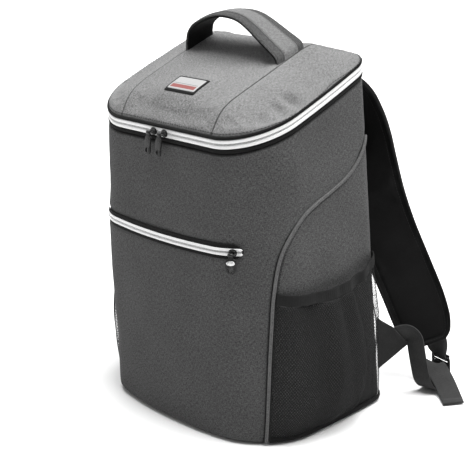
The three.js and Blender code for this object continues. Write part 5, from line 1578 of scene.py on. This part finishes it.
def pad_shell():
    """The pad as a closed ring of points at each place, a little slimmer than its room."""
    rows, across_count = 78, 20
    at, _, across, normal, wide = pad_frames(np.linspace(0, 1, rows))
    u = np.cos(np.linspace(0, np.pi, across_count))
    edge = (1 - np.abs(u) ** 5) ** 0.5
    ring_w = np.concatenate([u, u[::-1][1:-1]])
    ring_n = np.concatenate([0.62 * edge + 0.12, -(0.62 * edge + 0.12)[1:-1]])
    end = np.sqrt(np.clip(1 - ((np.linspace(0, 1, rows) - 0.93) / 0.07).clip(0, 1) ** 2, 0, 1))
    ring = np.stack([
        np.broadcast_to(ring_w, (rows, len(ring_w))) * (wide * PAD_WIDTH / 2 - 1.2)[:, None],
        np.broadcast_to(ring_n, (rows, len(ring_w))) * PAD_THICKNESS / 2 * mix(0.55, 1.0, end)[:, None],
    ], -1)
    return at[:, None] + across[:, None] * ring[..., :1] + normal[:, None] * ring[..., 1:]


def swell(points):
    """The pad's cloth: closed, with pressure inside, its ends and edges held."""
    rows, columns = points.shape[:2]
    half = columns // 2
    held = np.zeros((rows, columns))
    held[:, [0, 1, columns - 1, half - 1, half, half + 1]] = 1.0
    held[[0, 1, rows - 1]] = 1.0
    return simulate(
        points, tube_faces(rows, columns), held, frames=20, gravity=0.0, cap=1.8, quality=6, mass=0.2,
        tension_stiffness=14, bending_stiffness=1.5, shrink_min=-0.01, uniform_pressure_force=4.0,
    )


def strap_pad():
    points = swell(pad_shell())
    rows, columns = points.shape[:2]
    points = spline(points, np.linspace(0, 1, (rows - 1) * 3 + 1))
    turned = np.swapaxes(np.concatenate([points, points[:, :1]], 1), 0, 1)
    points = np.swapaxes(spline(turned, np.linspace(0, 1, columns * 2 + 1))[:-1], 0, 1)
    at, _, across, normal, wide = pad_frames(np.linspace(0, 1, len(points)))
    local_w = ((points - at[:, None]) * across[:, None]).sum(-1)
    local_n = ((points - at[:, None]) * normal[:, None]).sum(-1)
    inward = (wide * PAD_WIDTH / 2)[:, None] - np.abs(local_w)
    s = np.broadcast_to(lengths(at)[:, None], local_w.shape)
    sewn = np.minimum(inward, s[-1] - s)
    # A sewn line 7 mm inside the edge, and the foam's slight unevenness between
    push = -1.0 * np.exp(-(((sewn - 7.0) / 1.5) ** 2))
    push = push + 0.35 * lumps(s, local_w, 22, 71) * smooth((sewn - 8) / 8)
    points = points + normal[:, None] * (np.sign(local_n) * push)[..., None]
    return facing_out(Shape().add(points, tube_faces(*s.shape), np.stack([local_w, s], -1)))


def pad_outline(inset, lift, low=0.02, count=260):
    """A line round the pad, that far inside its edge and off its middle, and the outward directions."""
    t = np.linspace(low, 0.995, count)
    at, _, across, normal, wide = pad_frames(t)
    s = lengths(at)
    half = np.maximum(wide * PAD_WIDTH / 2 - inset, 0)
    keep = s < s[-1] - inset * 0.6
    up = normal * lift
    left = (at + across * half[:, None] + up)[keep]
    right = (at - across * half[:, None] + up)[keep]
    return np.vstack([left, right[::-1]]), np.vstack([normal[keep], normal[keep][::-1]])


def pad_binding():
    """A rounded tape that closes the pad's edge all round."""
    line, normal = pad_outline(0.9, 0.0, 0.0, 300)
    keep = np.concatenate([[True], np.linalg.norm(np.diff(line, axis=0), axis=1) > 0.2])
    line, normal = line[keep], normal[keep]
    run = unit(np.gradient(line, axis=0))
    across = unit(np.cross(run, normal))
    normal = unit(np.cross(across, run))
    return facing_out(Shape().sweep(line, across, normal, superellipse(3.4, 6.4, 2.4, 16)))


def pad_stitches():
    shape = Shape()
    for lift in (3.85, -3.85):
        line, normal = pad_outline(7.0, lift)
        stitches(shape, line, normal, 3.4, 2.4, 0.6, 0.55)
    return shape


pad_right, pad_left = make_pair(strap_pad(), "pad", BLACK, "black_cloth", "strap_pad")
make_pair(pad_binding(), "pad_edge", TAPE, "black_cloth")
make_pair(pad_stitches(), "pad_stitches", PAD_THREAD, "dark_tape")

# The ladder lock
LOCK_SIDE = width_direction(LOCK_TURN, 0)
LOCK_DOWN = np.array([0.0, 0.0, -1.0])
LOCK_OUT = np.cross(LOCK_SIDE, LOCK_DOWN)
pad_end = route_curve(pad_route, np.array([1.0]))[0][0]
LOCK_MIDDLE = pad_end + LOCK_HANG
LOCK_BARS = np.linspace(-LOCK_LENGTH / 2 + LOCK_BAR / 2, LOCK_LENGTH / 2 - LOCK_BAR / 2, 4)
LOCK_FACE = LOCK_THICKNESS / 2 + WEBBING_THICKNESS / 2 + 0.6


def in_lock(across, down, out):
    return LOCK_MIDDLE + LOCK_SIDE * across + LOCK_DOWN * down + LOCK_OUT * out


def ladder_lock():
    """Two rails with four bars between them, the middle two a little thinner."""
    rail = (LOCK_WIDTH - WEBBING_WIDTH - 1.2) / 2
    parts = []
    turn = np.stack([LOCK_SIDE, LOCK_DOWN, LOCK_OUT], -1)
    up = np.array([[0, 0, 1.0]])
    for side in (-1, 1):
        x, downs = side * (LOCK_WIDTH - rail) / 2, np.linspace(-0.5, 0.5, 14) * LOCK_LENGTH
        line = np.array([(x, down, 0.25 * math.cos(math.pi * down / LOCK_LENGTH)) for down in downs])
        n = len(line)
        grow = np.sqrt(np.clip(np.minimum(np.arange(n), np.arange(n)[::-1]) / 1.5, 0.35, 1))
        section = superellipse(rail, LOCK_THICKNESS, 3, 16)[None] * grow[:, None, None]
        parts.append(facing_out(Shape().sweep(line, np.tile([1.0, 0, 0], (n, 1)), up.repeat(n, 0), section)))
    for down, thick in zip(LOCK_BARS, (0.95, 0.8, 0.8, 0.95)):
        line = np.array([(x, down, 0.0) for x in np.linspace(-1, 1, 9) * (LOCK_WIDTH - rail) / 2])
        section = superellipse(LOCK_BAR, LOCK_THICKNESS * thick, 2.2, 14)
        parts.append(facing_out(Shape().sweep(line, np.tile([0, 1.0, 0], (9, 1)), up.repeat(9, 0), section)))
    whole = join(*parts)
    whole.points = [p @ turn.T + LOCK_MIDDLE for p in whole.points]
    return facing_out(whole)


make_pair(ladder_lock(), "lock", PLASTIC, "black_plastic", "strap_lock")


def ribbon(points, wides):
    """Webbing along a route: a flat section with thicker selvedges."""
    points, wides = np.asarray(points, float), unit(np.asarray(wides, float))
    t = np.linspace(0, 1, (len(points) - 1) * 8 + 1)
    at, run = route_curve(points, t)
    across = spline(wides, t)
    across = unit(across - run * (across * run).sum(-1, keepdims=True))
    normal = unit(np.cross(run, across))
    section = superellipse(WEBBING_WIDTH, WEBBING_THICKNESS, 5, 30)
    section[:, 1] *= 1 + 0.25 * smooth((np.abs(section[:, 0]) / (WEBBING_WIDTH / 2) - 0.82) / 0.1)
    return facing_out(Shape().sweep(at, across, normal, section)), at, across, normal


lift = PAD_THICKNESS / 2 + WEBBING_THICKNESS / 2 + 2 * SEAM_GAP
at, run, across, normal, _ = pad_frames(np.linspace(WEBBING_SEWN_FROM, 1, 5))
route = list(at + across * WEBBING_ASIDE + normal * lift)
wides = list(across)
bar = LOCK_BARS[0]
turn_points = [in_lock(0, bar - LOCK_FACE, -LOCK_FACE * 0.9)]
turn_points += [
    in_lock(0, bar + LOCK_FACE * math.sin(k), LOCK_FACE * math.cos(k)) for k in np.linspace(np.pi, 0, 5)
]
turn_points += [in_lock(0, bar - LOCK_FACE, LOCK_FACE * 1.2)]
web = ribbon(route + turn_points, wides + [LOCK_SIDE] * len(turn_points))[0]
make_pair(web, "webbing", WEBBING, "webbing", "strap_webbing")
sewn = Shape()
at, run, across, normal, _ = pad_frames(np.linspace(WEBBING_SEWN_FROM + 0.005, 0.93, 120))
for w in (-10.3, 10.3):
    stitches(sewn, at + across * (WEBBING_ASIDE + w) + normal * (lift + 0.72), normal, 3.0, 2.1, 0.5, 0.4)
for share in (0.02, 0.30):
    k = int(share * 119)
    line = np.array([
        at[k] + across[k] * (WEBBING_ASIDE + w) + normal[k] * (lift + 0.74) for w in np.linspace(-10, 10, 20)
    ])
    stitches(sewn, line, np.broadcast_to(normal[k], line.shape), 2.4, 1.8, 0.5, 0.4)
make_pair(sewn, "webbing_stitches", THREAD, "webbing")

# The tab at the foot of the back seam
tab_run = width_direction(TAB_TURN, 0)
tab_foot = skin(BACK_SEAM, (TAB_HIGH + TAB_LOW) / 2, 2 * SEAM_GAP + TAB_THICKNESS / 2)
tab_face = np.cross(tab_run, [0, 0, 1])
TIP_TOP, TIP_BOTTOM = (0.5, 0.73), (1.0, 0.35)


def tab_point(out, up):
    """A point of the tab's middle, at shares of its reach and height."""
    return np.array([tab_foot[0], tab_foot[1], mix(TAB_LOW, TAB_HIGH, up)]) + tab_run * out * TAB_REACH


def tab_shape():
    u, v = np.meshgrid(np.linspace(0, 1, 34), np.linspace(0, 1, 40), indexing="ij")
    low, high = (
        np.stack([mix(0, out, u) * TAB_REACH, mix(foot, mix(TAB_LOW, TAB_HIGH, up), u)], -1)
        for foot, (out, up) in ((TAB_LOW, TIP_BOTTOM), (TAB_HIGH, TIP_TOP))
    )
    flat = mix(low, high, v[..., None])
    ripple = 0.35 * lumps(flat[..., 0], flat[..., 1], 13, 4) * smooth(u * 6)
    near = np.minimum.reduce([(1 - u) * 30, v * 60, (1 - v) * 60])
    hem = 0.25 * (1 - smooth((near - 4.2) / 0.9)) - 0.3 * (1 - smooth(near / 0.9))
    base = np.array([tab_foot[0], tab_foot[1], 0.0]) + tab_face * (TAB_THICKNESS / 2)
    points = base + flat[..., :1] * tab_run + flat[..., 1:] * np.array([0, 0, 1.0])
    return facing_out(Shape().sheet(points + (ripple + hem)[..., None] * tab_face, TAB_THICKNESS, flat))


make_pair(tab_shape(), "tab", RIBBED_BLACK, "black_cloth", "strap_tab")
top, bottom = tab_point(*TIP_TOP), tab_point(*TIP_BOTTOM)
tip, wide = (top + bottom) / 2, unit(bottom - top)
away = unit(np.cross(tab_face, wide))
away = away if np.dot(away, tab_run) > 0 else -away
tab_stitches = Shape()
for inset in (4.5, 8.0):
    ends = [mix(top, bottom, share) - away * inset for share in (0.04, 0.96)]
    line = np.array([mix(*ends, k) for k in np.linspace(0, 1, 40)]) + tab_face * (TAB_THICKNESS / 2 + 0.25)
    stitches(tab_stitches, line, np.broadcast_to(tab_face, line.shape), 2.6, 1.9, 0.55, 0.5)
make_pair(tab_stitches, "tab_stitches", PALE_THREAD, "black_cloth")

# The adjusting webbing: out of the tab, to the floor, up through the lock and over to its free end
behind = -(TAB_THICKNESS / 2 + WEBBING_THICKNESS / 2 + SEAM_GAP)
route = [tip + away * reach + tab_face * behind for reach in (-TAB_OVERLAP, -TAB_OVERLAP / 2, 0)]
wides = [wide] * 3
corner = skin(BACK_SEAM, 0.0)
for x, y, z, turn, rise in LOOP_ROUTE:
    route.append(corner + np.array([x, y, z]) * LOOSE_REACH)
    wides.append(width_direction(turn, rise))
third, last = LOCK_BARS[2], LOCK_BARS[3]
for down, out in (
    (last + LOCK_BAR * 2, 1), (last + LOCK_BAR, LOCK_FACE + 1), (last, LOCK_FACE), (third, LOCK_FACE),
    (0, LOCK_FACE * 0.8), (0, -LOCK_FACE * 0.8), (1, -LOCK_FACE * 2),
):
    route.append(in_lock(0, down, out))
    wides.append(-LOCK_SIDE)
for x, y, z, turn, rise in TAIL_ROUTE:
    route.append(corner + np.array([x, y, z]) * LOOSE_REACH)
    wides.append(-width_direction(turn, rise))
loose, at, across, normal = ribbon(route, wides)
# The free end is folded back on itself and sewn down.
s = lengths(at)
hem_part = s > s[-1] - 11
fold_section = superellipse(WEBBING_WIDTH - 0.4, 1.1, 5, 30)
up_side = normal if normal[-1][2] > 0 else -normal
fold = Shape().sweep((at + up_side * 1.25)[hem_part], across[hem_part], up_side[hem_part], fold_section)
make_pair(join(loose, facing_out(fold)), "adjuster", WEBBING, "webbing", "strap_adjuster")
k = int(np.searchsorted(s, s[-1] - 8.5))
line = np.array([at[k] + across[k] * w + up_side[k] * 1.85 for w in np.linspace(-10.5, 10.5, 20)])
end_stitches = stitches(Shape(), line, np.broadcast_to(up_side[k], line.shape), 2.6, 1.9, 0.5, 0.45)
make_pair(end_stitches, "adjuster_stitches", PALE_THREAD, "webbing")

# The underside keeps its CAD solid, with the grey cloth.
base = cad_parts["base_panel"]
base.data.materials.clear()
base.data.materials.append(plain_cloth("base_cloth", 0.05, pitch=0.7, without_uvs=True))


# Floor, light and camera
def floor():
    """A pale ground, in metres, so wide that its edge is never in sight."""
    mesh = bpy.data.meshes.new("floor")
    n, half, drop = 25, 60, 0.0004
    u, v = np.meshgrid(np.linspace(-half, half, n), np.linspace(-half, half, n), indexing="ij")
    points = np.stack([u, v, np.full_like(u, -drop)], -1)
    mesh.from_pydata(points.reshape(-1, 3).tolist(), [], grid_faces(n, n).tolist())
    mesh.validate()
    paint = Paint("floor", Roughness=0.85, Specular_IOR_Level=0.1)
    place = paint.place()
    soft = paint.noise(place, 1.5, 2.0, 0.5)
    paint.colour(paint.blend(paint.remap(soft, 0.3, 0.7), grey(0.66), grey(0.7)))
    mesh.materials.append(paint.material)
    piece = bpy.data.objects.new("floor", mesh)
    bpy.context.scene.collection.objects.link(piece)
    piece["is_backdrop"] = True


floor()
world = bpy.data.worlds.new("studio")
bpy.context.scene.world = world
world.use_nodes = True
world.node_tree.nodes["Background"].inputs[0].default_value = (1, 1, 1, 1)
world.node_tree.nodes["Background"].inputs[1].default_value = 0.4


def sun(name, direction, strength, size):
    lamp = bpy.data.lights.new(name, "SUN")
    lamp.energy, lamp.angle = strength, math.radians(size)
    piece = bpy.data.objects.new(name, lamp)
    piece.rotation_mode = "QUATERNION"
    piece.rotation_quaternion = Vector(direction).to_track_quat("Z", "Y")
    bpy.context.scene.collection.objects.link(piece)


sun("key", (0.36, 0.2, 0.9), 4.3, 40)
sun("overhead", (-0.08, 0.1, 0.99), 4.0, 40)
sun("fill", (-0.9, -0.3, 0.3), 0.45, 60)

scene = bpy.context.scene
scene.view_settings.view_transform = "Standard"
lens = bpy.data.cameras.new("camera")
lens.sensor_fit, lens.sensor_width, lens.lens = "HORIZONTAL", 36.0, 101.07
lens.clip_start, lens.clip_end = 0.05, 60
camera = bpy.data.objects.new("camera", lens)
right, up = np.array([0.671, 0.739, -0.061]), np.array([-0.196, 0.256, 0.947])
right = unit(right)
up = unit(up - right * np.dot(up, right))
back = np.cross(right, up)
place = (1.1439, -0.9898, 0.7139)
rows = [[*row, p] for row, p in zip(np.stack([right, up, back], -1).tolist(), place)]
camera.matrix_world = Matrix(rows + [[0, 0, 0, 1]])
scene.collection.objects.link(camera)
scene.camera = camera

low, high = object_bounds()
